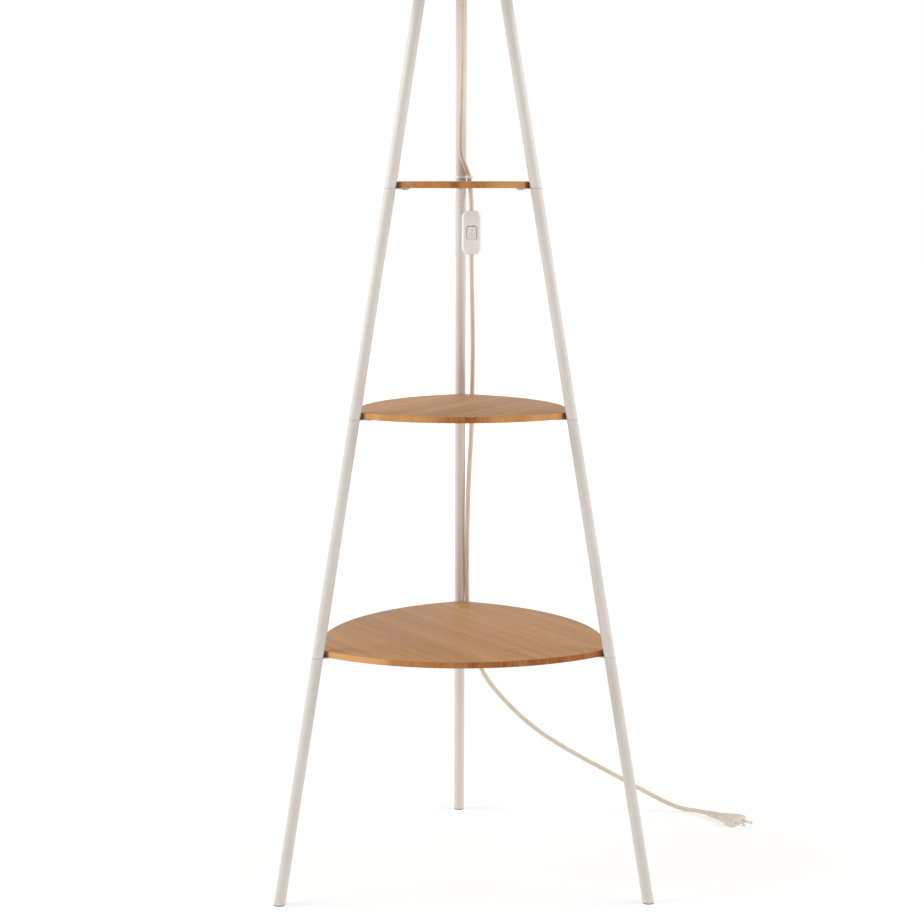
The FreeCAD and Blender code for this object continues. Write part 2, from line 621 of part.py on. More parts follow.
node(revolved("bulb_cap", (
    ("0", BULB_LOW),
    ("bulb_contact_diameter / 2", BULB_LOW),
    ("bulb_contact_diameter / 2", BULB_LOW + " + bulb_contact_height"),
    ("bulb_cap_diameter / 2 - bulb_cap_chamfer_depth", BULB_LOW + " + bulb_cap_chamfer_height"),
    ("bulb_cap_diameter / 2", BULB_LOW + " + bulb_cap_chamfer_height"),
    ("bulb_cap_diameter / 2", BULB_LOW + " + bulb_cap_height"),
    ("0", BULB_LOW + " + bulb_cap_height"),
)), "bulb_cap")

BULB_SEAT = "(%s + bulb_cap_height)" % BULB_LOW
BASE_TOP = "(%s + bulb_base_height)" % BULB_SEAT
node(revolved("bulb_base", (
    ("0", BULB_SEAT),
    ("holder_mouth_diameter / 2 + 1", BULB_SEAT),
    ("bulb_globe_diameter * 0.43", BASE_TOP),
    ("0", BASE_TOP),
)), "bulb_base")

GLOBE_MIDDLE = "(%s + bulb_globe_diameter / 4)" % BASE_TOP
globe_outer = doc.addObject("Part::Sphere", "globe_outer")
bind(globe_outer, Radius="bulb_globe_diameter / 2", z=GLOBE_MIDDLE)
globe_inner = doc.addObject("Part::Sphere", "globe_inner")
bind(globe_inner, Radius="bulb_globe_diameter / 2 - bulb_globe_wall", z=GLOBE_MIDDLE)
globe_foot = block("globe_foot", "bulb_globe_diameter", "bulb_globe_diameter", "bulb_globe_diameter",
                   x="-bulb_globe_diameter / 2", y="-bulb_globe_diameter / 2",
                   z=BASE_TOP + " - bulb_globe_diameter")
node(cut("bulb_globe", globe_outer, [globe_inner, globe_foot]), "bulb_globe")

RING_BORE = "(%s + screw_clearance)" % THREAD_RADIUS
CARRIER_LOW = "(clamp_ring_level + clamp_ring_height)"
CARRIER_TOP = "(%s + carrier_ring_thickness)" % CARRIER_LOW
for label, level in (("lower_shade_ring", "clamp_ring_level"), ("upper_shade_ring", CARRIER_TOP)):
    low = above_hub(level)
    high = above_hub("%s + clamp_ring_height" % level)
    node(revolved(label, (
        (RING_BORE, low),
        ("clamp_ring_diameter / 2", low),
        ("clamp_ring_diameter / 2", high),
        (RING_BORE, high),
    )), label)

SKIN_INSIDE = "(shade_diameter / 2 - shade_skin)"
WIRE_CIRCLE = "(%s - shade_wire / 2 - shade_glue_gap)" % SKIN_INSIDE
SHADE_RIM = "(%s - carrier_drop)" % above_hub(CARRIER_LOW)
SHADE_TOP = "(%s + shade_height)" % SHADE_RIM
LOW_WIRE = "(%s + shade_wire / 2 + shade_glue_gap)" % SHADE_RIM
HIGH_WIRE = "(%s - shade_wire / 2 - shade_glue_gap)" % SHADE_TOP

node(revolved("shade_skin", (
    (SKIN_INSIDE, SHADE_RIM),
    ("shade_diameter / 2", SHADE_RIM),
    ("shade_diameter / 2", SHADE_TOP),
    (SKIN_INSIDE, SHADE_TOP),
)), "shade_skin")


def wire_ring(name, level):
    ring = doc.addObject("Part::Torus", name)
    return bind(ring, Radius1=WIRE_CIRCLE, Radius2="shade_wire / 2", z=level)


node(wire_ring("shade_top_ring", HIGH_WIRE), "shade_top_ring")

carrier_disc = cylinder("carrier_disc", "carrier_ring_radius", "carrier_ring_thickness",
                        z=above_hub(CARRIER_LOW))
carrier_hole = cylinder("carrier_hole", RING_BORE + " + 0.3", "carrier_ring_thickness",
                        z=above_hub(CARRIER_LOW))
ARM_START = "(carrier_ring_radius - 1)"
ARM_LEVEL = "(%s)" % above_hub(CARRIER_LOW + " + carrier_ring_thickness / 2")
ARM_DROP = "(%s - %s)" % (ARM_LEVEL, LOW_WIRE)
ARM_SPAN = "(%s - %s)" % (WIRE_CIRCLE, ARM_START)
carrier_pieces = [cut("carrier_washer", carrier_disc, [carrier_hole]),
                  wire_ring("carrier_low_ring", LOW_WIRE)]
for side, azimuth in LEGS:
    arm = doc.addObject("Part::Cylinder", "carrier_arm_" + side)
    arm.Placement = Placement(Vector(), Rotation(Vector(0, 1, 0), 100))
    bind(arm, Radius="shade_arm_wire / 2", Height="sqrt(%s ^ 2 + %s ^ 2)" % (ARM_SPAN, ARM_DROP),
         x=ARM_START, z=ARM_LEVEL, turn="90 deg + atan(%s / %s)" % (ARM_DROP, ARM_SPAN))
    carrier_pieces.append(group("carrier_arm_%s_turned" % side, [arm], azimuth + 60.0))
node(fuse("shade_carrier", carrier_pieces), "shade_carrier")


# ---- the cord: tubes of straight runs joined by the largest tangent arcs that the runs allow


def rounded_path(route, label):
    corners = [Vector(*point) for point in route]
    edges = []
    start = corners[0]
    radii = []
    for before, corner, after in zip(corners, corners[1:], corners[2:]):
        back = before - corner
        ahead = after - corner
        half_turn = (math.pi - back.getAngle(ahead)) / 2
        setback = 0.45 * min(back.Length, ahead.Length)
        radius = setback / math.tan(half_turn)
        back.normalize()
        ahead.normalize()
        inward = (back + ahead).normalize()
        enter = corner + back * setback
        leave = corner + ahead * setback
        middle = corner + inward * (radius / math.cos(half_turn) - radius)
        edges.append(Part.LineSegment(start, enter).toShape())
        edges.append(Part.Arc(enter, middle, leave).toShape())
        radii.append(radius)
        start = leave
    edges.append(Part.LineSegment(start, corners[-1]).toShape())
    path = Part.Wire(edges)
    print("%s: %.0f mm long, radii %s" % (label, path.Length, ", ".join("%.0f" % radius for radius in radii)))
    return path


def tube(label, route, diameter):
    path = rounded_path(route, label)
    start = Vector(*route[0])
    direction = Vector(*route[1]) - start
    circle = Part.Wire([Part.Circle(start, direction, diameter / 2).toShape()])
    solid = path.makePipeShell([circle], True, False)
    expected = math.pi * diameter ** 2 / 4 * path.Length
    print("%s: volume %.4f of section times length" % (label, solid.Volume / expected))
    if abs(solid.Volume / expected - 1) > 0.01:
        raise RuntimeError(label + " lost its section")
    piece = doc.addObject("Part::Feature", label)
    piece.Shape = solid
    return piece


def placed(point):
    """A drawn point moved with the shelves, the hub and the rear leg that the cord follows."""
    x, y, drawn = point
    for (low, low_size), (high, high_size) in zip(ROUTE_LEVELS, ROUTE_LEVELS[1:]):
        if drawn <= high:
            break
    share = (drawn - low) / (high - low)
    height = measure(low_size) * (1 - share) + measure(high_size) * share
    outward = measure(leg_radius(height)) / (DRAWN_FOOT_RADIUS - DRAWN_LEAN * drawn)
    return (x * measure("foot_circle_radius") / DRAWN_FOOT_RADIUS, y * outward, height)


UPPER_ROUTE = [placed(point) for point in UPPER_DRAWN]
LOWER_ROUTE = [placed(point) for point in LOWER_DRAWN]
CORD = measure("cord_diameter")
node(tube("cord_upper", UPPER_ROUTE, CORD), "cord_upper")
node(tube("cord_lower", LOWER_ROUTE, CORD), "cord_lower")

# the sheath goes on up through the threaded nipple, and its two wires end in the block
SHEATH_LOW = UPPER_ROUTE[0][2]
SHEATH_TOP = measure(HUB_TOP) + measure("nipple_above") - 4
WIRE_RADIUS = measure("wire_diameter") / 2
lead_pieces = [cylinder("lead_sheath", "cord_diameter / 2", str(SHEATH_TOP - SHEATH_LOW), z=str(SHEATH_LOW))]
for name, sign in (("live", 1), ("neutral", -1)):
    block_low = measure(above_hub(BLOCK_LOW))
    block_top = measure(above_hub(BLOCK_TOP))
    spread = sign * measure("wire_spread")
    lead_pieces.append(tube("lead_wire_" + name, (
        (sign * WIRE_RADIUS * 1.4, 0, SHEATH_TOP), (sign * WIRE_RADIUS * 1.4, 0, SHEATH_TOP + 4),
        (spread, 0, block_low - 4.2), (spread, 0, block_top),
    ), 2 * WIRE_RADIUS))
node(group("lampholder_lead", lead_pieces), "lampholder_lead")


# ---- cable clip: two rings side by side, one round the rear leg and one round the cord

CLIP_LOW = "(top_shelf_height + clip_above_shelf)"
CLIP_TOP = "(%s + clip_height)" % CLIP_LOW
CLIP_MIDDLE = "(%s + clip_height / 2)" % CLIP_LOW
CLIP_CORD_RADIUS = "(cord_diameter / 2 + clip_cord_space)"


def cord_at(route, level):
    """Where the cord's corner-cut line crosses a level."""
    path = rounded_path(route, "cord at the clip")
    reach = measure("foot_circle_radius")
    plane = Part.makePlane(2 * reach, 2 * reach, Vector(-reach, -reach, level))
    distance, points, details = path.distToShape(plane)
    return points[0][0]


CLIP_CORD = cord_at(UPPER_ROUTE, measure(CLIP_MIDDLE))
leg_ring = leaning_piece("clip_leg_ring", "tube_diameter / 2 + clip_wall", CLIP_LOW, CLIP_TOP, 90.0)
leg_bore = leaning_piece("clip_leg_bore", "tube_diameter / 2 + press_clearance", CLIP_LOW + " - 1",
                         CLIP_TOP + " + 1", 90.0)
cord_ring = cylinder("clip_cord_ring", CLIP_CORD_RADIUS + " + clip_wall", "clip_height", z=CLIP_LOW)
cord_bore = cylinder("clip_cord_bore", CLIP_CORD_RADIUS, "clip_height + 2", z=CLIP_LOW + " - 1")
for piece in (cord_ring, cord_bore):
    bind(piece, x=str(CLIP_CORD.x), y=str(CLIP_CORD.y))
node(cut("cable_clip", fuse("clip_rings", [leg_ring, cord_ring]), [leg_bore, cord_bore]), "cable_clip")


# ---- inline switch, drawn round its own centre with its front towards -Y

SWITCH_CENTRE = (Vector(*UPPER_ROUTE[-1]) + Vector(*LOWER_ROUTE[0])) / 2


def at_switch(piece):
    piece.Placement = Placement(SWITCH_CENTRE, piece.Placement.Rotation)
    return piece


def switch_octagon(inset):
    half_width = "(switch_width / 2 - %s)" % inset
    half_length = "(switch_length / 2 - %s)" % inset
    corner_width = "(switch_corner_width - %s * 0.5)" % inset
    corner_length = "(switch_corner_length - %s * 0.5)" % inset
    return (
        (half_width, "-(%s - %s)" % (half_length, corner_length)),
        (half_width, "%s - %s" % (half_length, corner_length)),
        ("%s - %s" % (half_width, corner_width), half_length),
        ("-(%s - %s)" % (half_width, corner_width), half_length),
        ("-%s" % half_width, "%s - %s" % (half_length, corner_length)),
        ("-%s" % half_width, "-(%s - %s)" % (half_length, corner_length)),
        ("-(%s - %s)" % (half_width, corner_width), "-%s" % half_length),
        ("%s - %s" % (half_width, corner_width), "-%s" % half_length),
    )


HALF_DEPTH = "(switch_depth / 2)"


def along_y(piece, start):
    """Turns an upright cylinder to run towards -Y from a depth."""
    piece.Placement = Placement(Vector(), Rotation(Vector(1, 0, 0), 90))
    return bind(piece, y=start)


def cord_channel(name):
    return cylinder(name, CORD_ENTRY, "switch_length + 2", z="-switch_length / 2 - 1")


SCREW_PLACES = (("upper", "1"), ("lower", "-1"))
SCREW_ACROSS = "(switch_width / 2 - switch_wall - 2.6)"
SCREW_ALONG = "(switch_length / 2 - switch_corner_length - 2.5)"


def switch_post(name, sign, radius, start, length):
    """A round post or hole at one screw's place, running towards -Y."""
    piece = doc.addObject("Part::Cylinder", name)
    along_y(piece, start)
    return bind(piece, Radius=radius, Height=length, x="%s * %s" % (sign, SCREW_ACROSS),
                z="%s * %s" % (sign, SCREW_ALONG))


def switch_front():
    """The front housing: bevelled border, rocker opening, pivot cheeks and screw posts."""
    straight = padded("switch_front_side", "XZ_Plane", switch_octagon("0"), HALF_DEPTH + " - switch_bevel")
    border = padded("switch_front_border", "XZ_Plane", switch_octagon("0"), "switch_bevel", taper=-40.0,
                    y="-(%s - switch_bevel)" % HALF_DEPTH)
    hollow = padded("switch_front_hollow", "XZ_Plane", switch_octagon("switch_wall"),
                    HALF_DEPTH + " - switch_bevel")
    opening = block("switch_opening", "rocker_width + 2 * rocker_clearance", "switch_depth",
                    "rocker_length + 2 * rocker_clearance", x="-rocker_width / 2 - rocker_clearance",
                    y="-switch_depth", z="-rocker_length / 2 - rocker_clearance")
    shell = cut("switch_front_shell", fuse("switch_front_form", [straight, border]), [hollow, opening])
    extras = []
    for name, sign in SCREW_PLACES:
        extras.append(switch_post("switch_front_post_" + name, sign, "switch_post_diameter / 2", "0",
                                  HALF_DEPTH + " - switch_bevel + 0.5"))
    for name, place in (("left", "-rocker_width / 2 - rocker_clearance - switch_cheek_thickness"),
                        ("right", "rocker_width / 2 + rocker_clearance")):
        extras.append(block("switch_cheek_" + name, "switch_cheek_thickness", "switch_bevel + 1.5",
                            "switch_cheek_length", x=place, y="-%s + 1" % HALF_DEPTH,
                            z="-switch_cheek_length / 2"))
    holes = [switch_post("switch_front_pilot_" + name, sign, "switch_screw_diameter / 2 + press_clearance",
                         "1", HALF_DEPTH + " - switch_bevel + 1") for name, sign in SCREW_PLACES]
    pivot = doc.addObject("Part::Cylinder", "switch_pivot_bore")
    pivot.Placement = Placement(Vector(), Rotation(Vector(0, 1, 0), 90))
    bind(pivot, Radius="rocker_pin_diameter / 2 + pin_clearance",
         Height="rocker_width + 2 * (rocker_clearance + switch_pivot_reach)",
         x="-rocker_width / 2 - rocker_clearance - switch_pivot_reach",
         y="-%s + rocker_pivot_depth" % HALF_DEPTH)
    whole = fuse("switch_front_whole", [shell] + extras)
    node(at_switch(cut("switch_front_housing", whole, holes + [pivot, cord_channel("front_channel")])),
         "switch_front_housing")


def switch_back():
    """The back housing, a plain tray with two screw posts."""
    outer = padded("switch_back_form", "XZ_Plane", switch_octagon("0"), HALF_DEPTH, backwards=True)
    hollow = padded("switch_back_hollow", "XZ_Plane", switch_octagon("switch_wall"),
                    HALF_DEPTH + " - switch_wall", backwards=True)
    posts = [switch_post("switch_back_post_" + name, sign, "switch_post_diameter / 2",
                         HALF_DEPTH + " - 0.5", HALF_DEPTH + " - 0.5") for name, sign in SCREW_PLACES]
    holes = [switch_post("switch_back_hole_" + name, sign, "switch_screw_diameter / 2 + screw_clearance",
                         HALF_DEPTH + " + 1", HALF_DEPTH + " + 2") for name, sign in SCREW_PLACES]
    seats = [switch_post("switch_back_seat_" + name, sign,
                         "switch_screw_head_diameter / 2 + screw_clearance", HALF_DEPTH + " + 1",
                         "1 + switch_screw_sink + switch_screw_head_height") for name, sign in SCREW_PLACES]
    tray = cut("switch_back_tray", outer, [hollow])
    whole = fuse("switch_back_whole", [tray] + posts)
    node(at_switch(cut("switch_back_housing", whole, holes + seats + [cord_channel("back_channel")])),
         "switch_back_housing")


def switch_screws():
    pieces = []
    for name, sign in SCREW_PLACES:
        outside = HALF_DEPTH + " - switch_screw_sink"
        head = switch_post("switch_screw_head_" + name, sign, "switch_screw_head_diameter / 2", outside,
                           "switch_screw_head_height")
        shank = switch_post("switch_screw_shank_" + name, sign, "switch_screw_diameter / 2", outside,
                            HALF_DEPTH + " + 3")
        pieces.append(fuse("switch_screw_" + name, [head, shank]))
    node(at_switch(group("switch_screws", pieces)), "switch_screws")


def switch_terminals():
    """Two brass terminals on the tray's floor, with the leaves that the rocker bridges."""
    pieces = []
    for name, sign in (("upper", 1), ("lower", -1)):
        body = block("terminal_%s_block" % name, "terminal_width",
                     HALF_DEPTH + " - switch_wall + terminal_front", "terminal_length",
                     x="-terminal_width / 2", y="-terminal_front",
                     z="%d * terminal_offset - terminal_length / 2" % sign)
        leaf = block("terminal_%s_leaf" % name, "leaf_width", "contact_thickness", "leaf_length",
                     x="-leaf_width / 2", y="-terminal_front", z="%d * leaf_offset - leaf_length / 2" % sign)
        pieces.append(fuse("terminal_" + name, [body, leaf]))
    node(at_switch(group("switch_terminals", pieces)), "switch_terminals")


def rocker():
    """The rocker at rest, tipped half its travel about its pivot so that its lower end is in."""
    front = "(rocker_pivot_depth + rocker_proud)"
    profile = (
        ("-" + front, "0"),
        ("-(%s + rocker_rise)" % front, "rocker_length / 2"),
        ("-(rocker_proud - rocker_skirt_rise)", "rocker_length / 2"),
        ("rocker_heel_depth", "rocker_heel_length / 2"),
        ("rocker_heel_depth", "-rocker_heel_length / 2"),
        ("-(rocker_proud - rocker_skirt_rise)", "-rocker_length / 2"),
        ("-(%s + rocker_rise)" % front, "-rocker_length / 2"),
    )
    body = padded("rocker_body", "YZ_Plane", profile, "rocker_width", midplane=True)
    pin = doc.addObject("Part::Cylinder", "rocker_pin")
    pin.Placement = Placement(Vector(), Rotation(Vector(0, 1, 0), 90))
    bind(pin, Radius="rocker_pin_diameter / 2", Height="rocker_width + 2 * rocker_clearance + 2.2",
         x="-rocker_width / 2 - rocker_clearance - 1.1")
    whole = fuse("switch_rocker", [body, pin])
    pivot = SWITCH_CENTRE + Vector(0, -measure(HALF_DEPTH + " - rocker_pivot_depth"), 0)
    whole.Placement = Placement(pivot, Rotation(Vector(1, 0, 0), measure("rocker_throw / 2")))
    print("rocker pivot at", tuple(pivot))
    node(whole, "switch_rocker")


switch_front()
switch_back()
switch_screws()
switch_terminals()
rocker()


# ---- plug, drawn along +X with the strain relief behind its own origin

plug_way = Vector(*LOWER_ROUTE[-1]) - Vector(*LOWER_ROUTE[-2])
plug_way.normalize()
PLUG_ORIGIN = Vector(*LOWER_ROUTE[-1]) + plug_way * (measure("relief_length") - measure("relief_seat"))
PLUG_TURN = Rotation(Vector(1, 0, 0), plug_way)


def at_plug(piece):
    piece.Placement = Placement(PLUG_ORIGIN, PLUG_TURN)
    return piece


def lying(name, radius, start, length, across="0"):
    """A round rod along the plug."""
    rod = doc.addObject("Part::Cylinder", name)
    rod.Placement = Placement(Vector(), Rotation(Vector(0, 1, 0), 90))
    return bind(rod, Radius=radius, Height=length, x=start, y=across)


plug_form = padded("plug_form", "XY_Plane", (
    ("0", "plug_width * 0.2"), ("plug_length * 0.25", "plug_width * 0.25"),
    ("plug_length * 0.62", "plug_width / 2"), ("plug_length", "plug_width / 2"),
    ("plug_length", "-plug_width / 2"), ("plug_length * 0.62", "-plug_width / 2"),
    ("plug_length * 0.25", "-plug_width * 0.25"), ("0", "-plug_width * 0.2"),
), "plug_thickness", midplane=True)
PIN_PLACES = (("left", "plug_pin_pitch / 2"), ("right", "-plug_pin_pitch / 2"))
pin_holes = [lying("plug_hole_" + name, "plug_pin_root_diameter / 2 + press_clearance",
                   "plug_length - plug_pin_seat", "plug_pin_seat", place) for name, place in PIN_PLACES]
node(at_plug(cut("plug_body", plug_form, pin_holes)), "plug_body")
pins = []
for name, place in PIN_PLACES:
    root = lying("plug_root_" + name, "plug_pin_root_diameter / 2", "plug_length - plug_pin_seat",
                 "plug_pin_seat", place)
    free = lying("plug_pin_" + name, "plug_pin_diameter / 2", "plug_length", "plug_pin_length", place)
    pins.append(fuse("plug_pin_whole_" + name, [root, free]))
    print("plug pin %s at" % name, PLUG_ORIGIN + PLUG_TURN.multVec(
        Vector(measure("plug_length + plug_pin_length / 2"), measure(place), 0)), "along", plug_way)
node(at_plug(group("plug_pins", pins)), "plug_pins")

relief_form = doc.addObject("Part::Cone", "relief_form")
relief_form.Placement = Placement(Vector(), Rotation(Vector(0, 1, 0), 90))
bind(relief_form, Radius1="relief_tip_diameter / 2", Radius2="relief_diameter / 2", Height="relief_length",
     x="-relief_length")
relief_bore = lying("relief_bore", CORD_ENTRY, "-relief_length", "relief_seat")
node(at_plug(cut("plug_strain_relief", relief_form, [relief_bore])), "plug_strain_relief")


# ---- checks and files

doc.recompute()
for piece in doc.Objects:
    if "Invalid" in piece.State or "Error" in piece.State:
        raise RuntimeError("%s failed: %s" % (piece.Name, piece.State))
for piece in nodes:
    if piece.Shape.isNull() or not piece.Shape.isValid():
        raise RuntimeError(piece.Label + " has no valid shape")
os.makedirs("parts", exist_ok=True)
for piece in nodes:
    box = piece.Shape.BoundBox
    print("%-26s %2d solids %10.1f mm3  z %.1f to %.1f" % (piece.Label, len(piece.Shape.Solids),
                                                          piece.Shape.Volume, box.ZMin, box.ZMax))
    piece.Shape.exportStep("parts/%s.step" % piece.Label)
print(len(nodes), "sub-parts")
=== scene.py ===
import bmesh
import bpy
import math

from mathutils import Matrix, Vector


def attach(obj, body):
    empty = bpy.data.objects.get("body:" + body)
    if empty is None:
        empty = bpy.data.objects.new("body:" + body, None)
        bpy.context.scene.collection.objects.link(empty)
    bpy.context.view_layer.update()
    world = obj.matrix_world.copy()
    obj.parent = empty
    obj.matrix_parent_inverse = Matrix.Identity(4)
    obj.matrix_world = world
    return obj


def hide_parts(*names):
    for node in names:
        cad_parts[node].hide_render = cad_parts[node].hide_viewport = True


# A floor lamp: three leaning steel tubes carry three wooden shelves and a drum shade, and the mains
# cord runs down beside the rear tube. +Z is up, +Y points to the rear tube, and lengths in the
# sections below are in millimetres unless a name says otherwise.

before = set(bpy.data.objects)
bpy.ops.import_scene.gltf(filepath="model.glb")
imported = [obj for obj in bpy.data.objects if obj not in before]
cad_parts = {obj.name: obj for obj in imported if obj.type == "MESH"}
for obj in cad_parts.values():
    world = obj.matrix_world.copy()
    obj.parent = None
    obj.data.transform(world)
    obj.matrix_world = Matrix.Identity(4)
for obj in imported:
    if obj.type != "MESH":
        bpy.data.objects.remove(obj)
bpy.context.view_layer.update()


# ---- camera
# It stands about 3 m in front of the lamp, level with the top shelf, and looks slightly down. The
# picture's upper edge cuts the tubes just below the hub.

MM = 0.001
CAMERA_PLACE = (-54.3, -3061.3, 1039.1)
CAMERA_ROTATION = (math.radians(82.19), 0.0, math.radians(-0.98))
SENSOR_WIDTH = 36.0
LENS_LENGTH = 82.45
camera = bpy.data.objects.new("camera", bpy.data.cameras.new("camera"))
camera.data.sensor_width = SENSOR_WIDTH
camera.data.lens = LENS_LENGTH
camera.location = [value * MM for value in CAMERA_PLACE]
camera.rotation_euler = CAMERA_ROTATION
bpy.context.scene.collection.objects.link(camera)
bpy.context.scene.camera = camera


# ---- leg tubes
# Twelve lengths of 16 mm steel tube, four to each leg, cut level where the brackets lie between them.
# The powder coat is warm off-white: satin, with a fine orange peel, greyer in thin patches.

def node_material(name):
    """A new material with its node tree, its shader, a function that adds a node to it and the place
    on the piece. The function links an input whose value is a node's socket, and sets any other."""
    material = bpy.data.materials.new(name)
    material.use_nodes = True
    tree = material.node_tree
    shader = tree.nodes["Principled BSDF"]

    def add(kind, inputs=None, **settings):
        piece = tree.nodes.new(kind)
        for key, value in settings.items():
            setattr(piece, key, value)
        for key, value in (inputs or {}).items():
            if isinstance(value, bpy.types.NodeSocket):
                tree.links.new(value, piece.inputs[key])
            else:
                piece.inputs[key].default_value = value
        return piece

    return material, tree, shader, add, add("ShaderNodeTexCoord").outputs["Object"]


def ramp(add, factor, stops):
    """A colour ramp over a factor; stops are (place, colour)."""
    piece = add("ShaderNodeValToRGB", {"Fac": factor})
    elements = piece.color_ramp.elements
    while len(elements) < len(stops):
        elements.new(0.5)
    for element, (place, colour) in zip(elements, stops):
        element.position = place
        element.color = (*colour, 1.0)
    return piece.outputs["Color"]


def bump(add, shader, tree, height, distance, strength=1.0):
    """Raises the surface by a height from 0 to 1; the distance is in metres."""
    raised = add("ShaderNodeBump", {"Height": height, "Distance": distance, "Strength": strength})
    tree.links.new(raised.outputs["Normal"], shader.inputs["Normal"])


def gloss(add, shader, tree, factor, low, high):
    """Lets the roughness go from low to high with a factor."""
    spread = add("ShaderNodeMapRange", {"Value": factor, "To Min": low, "To Max": high})
    tree.links.new(spread.outputs["Result"], shader.inputs["Roughness"])


def drawn_noise(add, place, scales, detail, roughness=0.5, distortion=0.0, **mapping):
    """Noise drawn out or in by a scale for each axis."""
    drawn = add("ShaderNodeMapping", {"Vector": place, "Scale": scales, **mapping}).outputs["Vector"]
    return add("ShaderNodeTexNoise", {"Vector": drawn, "Scale": 1.0, "Detail": detail, "Roughness": roughness,
                                      "Distortion": distortion}).outputs["Fac"]


def dress(node, material):
    """Gives a carried-over node its finish."""
    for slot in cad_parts[node].material_slots:
        slot.material = material


def powder_coat(name, light, dark):
    """Satin powder coat: patches drawn out along the height, and a fine orange peel."""
    material, tree, shader, add, place = node_material(name)
    patches = drawn_noise(add, place, (38.0, 38.0, 5.0), 4.0, 0.6)
    tree.links.new(ramp(add, patches, ((0.25, dark), (0.7, light))), shader.inputs["Base Color"])
    peel = add("ShaderNodeTexNoise", {"Vector": place, "Scale": 900.0, "Detail": 2.0})
    bump(add, shader, tree, peel.outputs["Fac"], 0.00006, 0.6)
    gloss(add, shader, tree, patches, 0.38, 0.5)
    shader.inputs["Coat Weight"].default_value = 0.12
    shader.inputs["Coat Roughness"].default_value = 0.3
    return material


LEGS = (("rear", 90.0), ("left", 210.0), ("right", 330.0))
leg_coat = powder_coat("leg_powder_coat", (0.70, 0.655, 0.61), (0.64, 0.59, 0.545))
for side, azimuth in LEGS:
    for section in ("foot", "lower", "middle", "upper"):
        dress("%s_leg_%s_tube" % (side, section), leg_coat)


# ---- threaded inserts, joining studs and screws
# Zinc-plated steel: inserts pressed into the tube ends, the studs that join the tube lengths, the
# screws up into each shelf, the three socket screws on the hub, and the threaded tube with its nut.

def plated_metal(name, colour, rough, brushing):
    """Bright metal with fine lines drawn along its height."""
    material, tree, shader, add, place = node_material(name)
    lines = drawn_noise(add, place, (600.0, 600.0, 60.0), 3.0)
    dull = tuple(channel * 0.8 for channel in colour)
    tree.links.new(ramp(add, lines, ((0.3, dull), (0.7, colour))), shader.inputs["Base Color"])
    bump(add, shader, tree, lines, brushing, 0.5)
    gloss(add, shader, tree, lines, rough * 0.8, rough * 1.3)
    shader.inputs["Metallic"].default_value = 1.0
    return material


zinc = plated_metal("zinc_plated_steel", (0.63, 0.63, 0.61), 0.34, 0.00003)
for node in ("leg_thread_inserts", "leg_joining_studs", "shelf_screws", "hub_screws", "threaded_nipple",
             "nipple_nut", "switch_screws"):
    dress(node, zinc)


# ---- foot caps and pads
# A moulded plastic cap closes each tube: a shallow groove runs round it and its lower edge is
# rounded. Under it is a thin disc of dark felt.

FOOT_CIRCLE = 305.0
HUB_CIRCLE = 59.2
HUB_LOW = 1340.0
LEAN = (FOOT_CIRCLE - HUB_CIRCLE) / HUB_LOW
SPREAD = math.sqrt(1.0 + LEAN * LEAN)
ROUND_STEPS = 64


def finish_mesh(name, vertices, faces, sharp_degrees=40.0):
    """An object from points in millimetres, smooth except at its sharp edges."""
    mesh = bpy.data.meshes.new(name)
    mesh.from_pydata([tuple(value * MM for value in vertex) for vertex in vertices], [], faces)
    mesh.validate()
    work = bmesh.new()
    work.from_mesh(mesh)
    bmesh.ops.remove_doubles(work, verts=work.verts, dist=1e-7)
    bmesh.ops.recalc_face_normals(work, faces=work.faces)
    work.to_mesh(mesh)
    work.free()
    mesh.shade_smooth()
    mesh.set_sharp_from_angle(angle=math.radians(sharp_degrees))
    piece = bpy.data.objects.new(name, mesh)
    bpy.context.scene.collection.objects.link(piece)
    return piece


def loft(name, loops, closed=False, sharp_degrees=40.0):
    """A skin over loops of equally many points. Open ends are capped unless the loops close up."""
    count = len(loops[0])
    vertices = [point for loop in loops for point in loop]
    faces = []
    spans = len(loops) if closed else len(loops) - 1
    for level in range(spans):
        low = level * count
        high = (level + 1) % len(loops) * count
        for step in range(count):
            ahead = (step + 1) % count
            faces.append((low + step, low + ahead, high + ahead, high + step))
    if not closed:
        faces.append(tuple(range(count - 1, -1, -1)))
        faces.append(tuple((len(loops) - 1) * count + step for step in range(count)))
    return finish_mesh(name, vertices, faces, sharp_degrees)


def leaning_loop(radius, height, azimuth):
    """A circle about a leg's own axis, cut level: the lean draws it out by SPREAD."""
    axis = FOOT_CIRCLE - LEAN * height
    turn = math.radians(azimuth)
    loop = []
    for step in range(ROUND_STEPS):
        angle = math.tau * step / ROUND_STEPS
        out = axis + radius * SPREAD * math.cos(angle)
        across = radius * math.sin(angle)
        loop.append((out * math.cos(turn) - across * math.sin(turn),
                     out * math.sin(turn) + across * math.cos(turn), height))
    return loop


def plastic(name, colour, rough, grain=700.0, depth=0.00004, shade=0.93):
    """Moulded plastic: a faint tone drift, a fine moulded grain and an even gloss."""
    material, tree, shader, add, place = node_material(name)
    drift = add("ShaderNodeTexNoise", {"Vector": place, "Scale": 30.0, "Detail": 3.0}).outputs["Fac"]
    dim = tuple(channel * shade for channel in colour)
    tree.links.new(ramp(add, drift, ((0.3, dim), (0.65, colour))), shader.inputs["Base Color"])
    fine = add("ShaderNodeTexNoise", {"Vector": place, "Scale": grain, "Detail": 2.0})
    bump(add, shader, tree, fine.outputs["Fac"], depth, 0.5)
    gloss(add, shader, tree, drift, rough * 0.88, rough * 1.12)
    return material


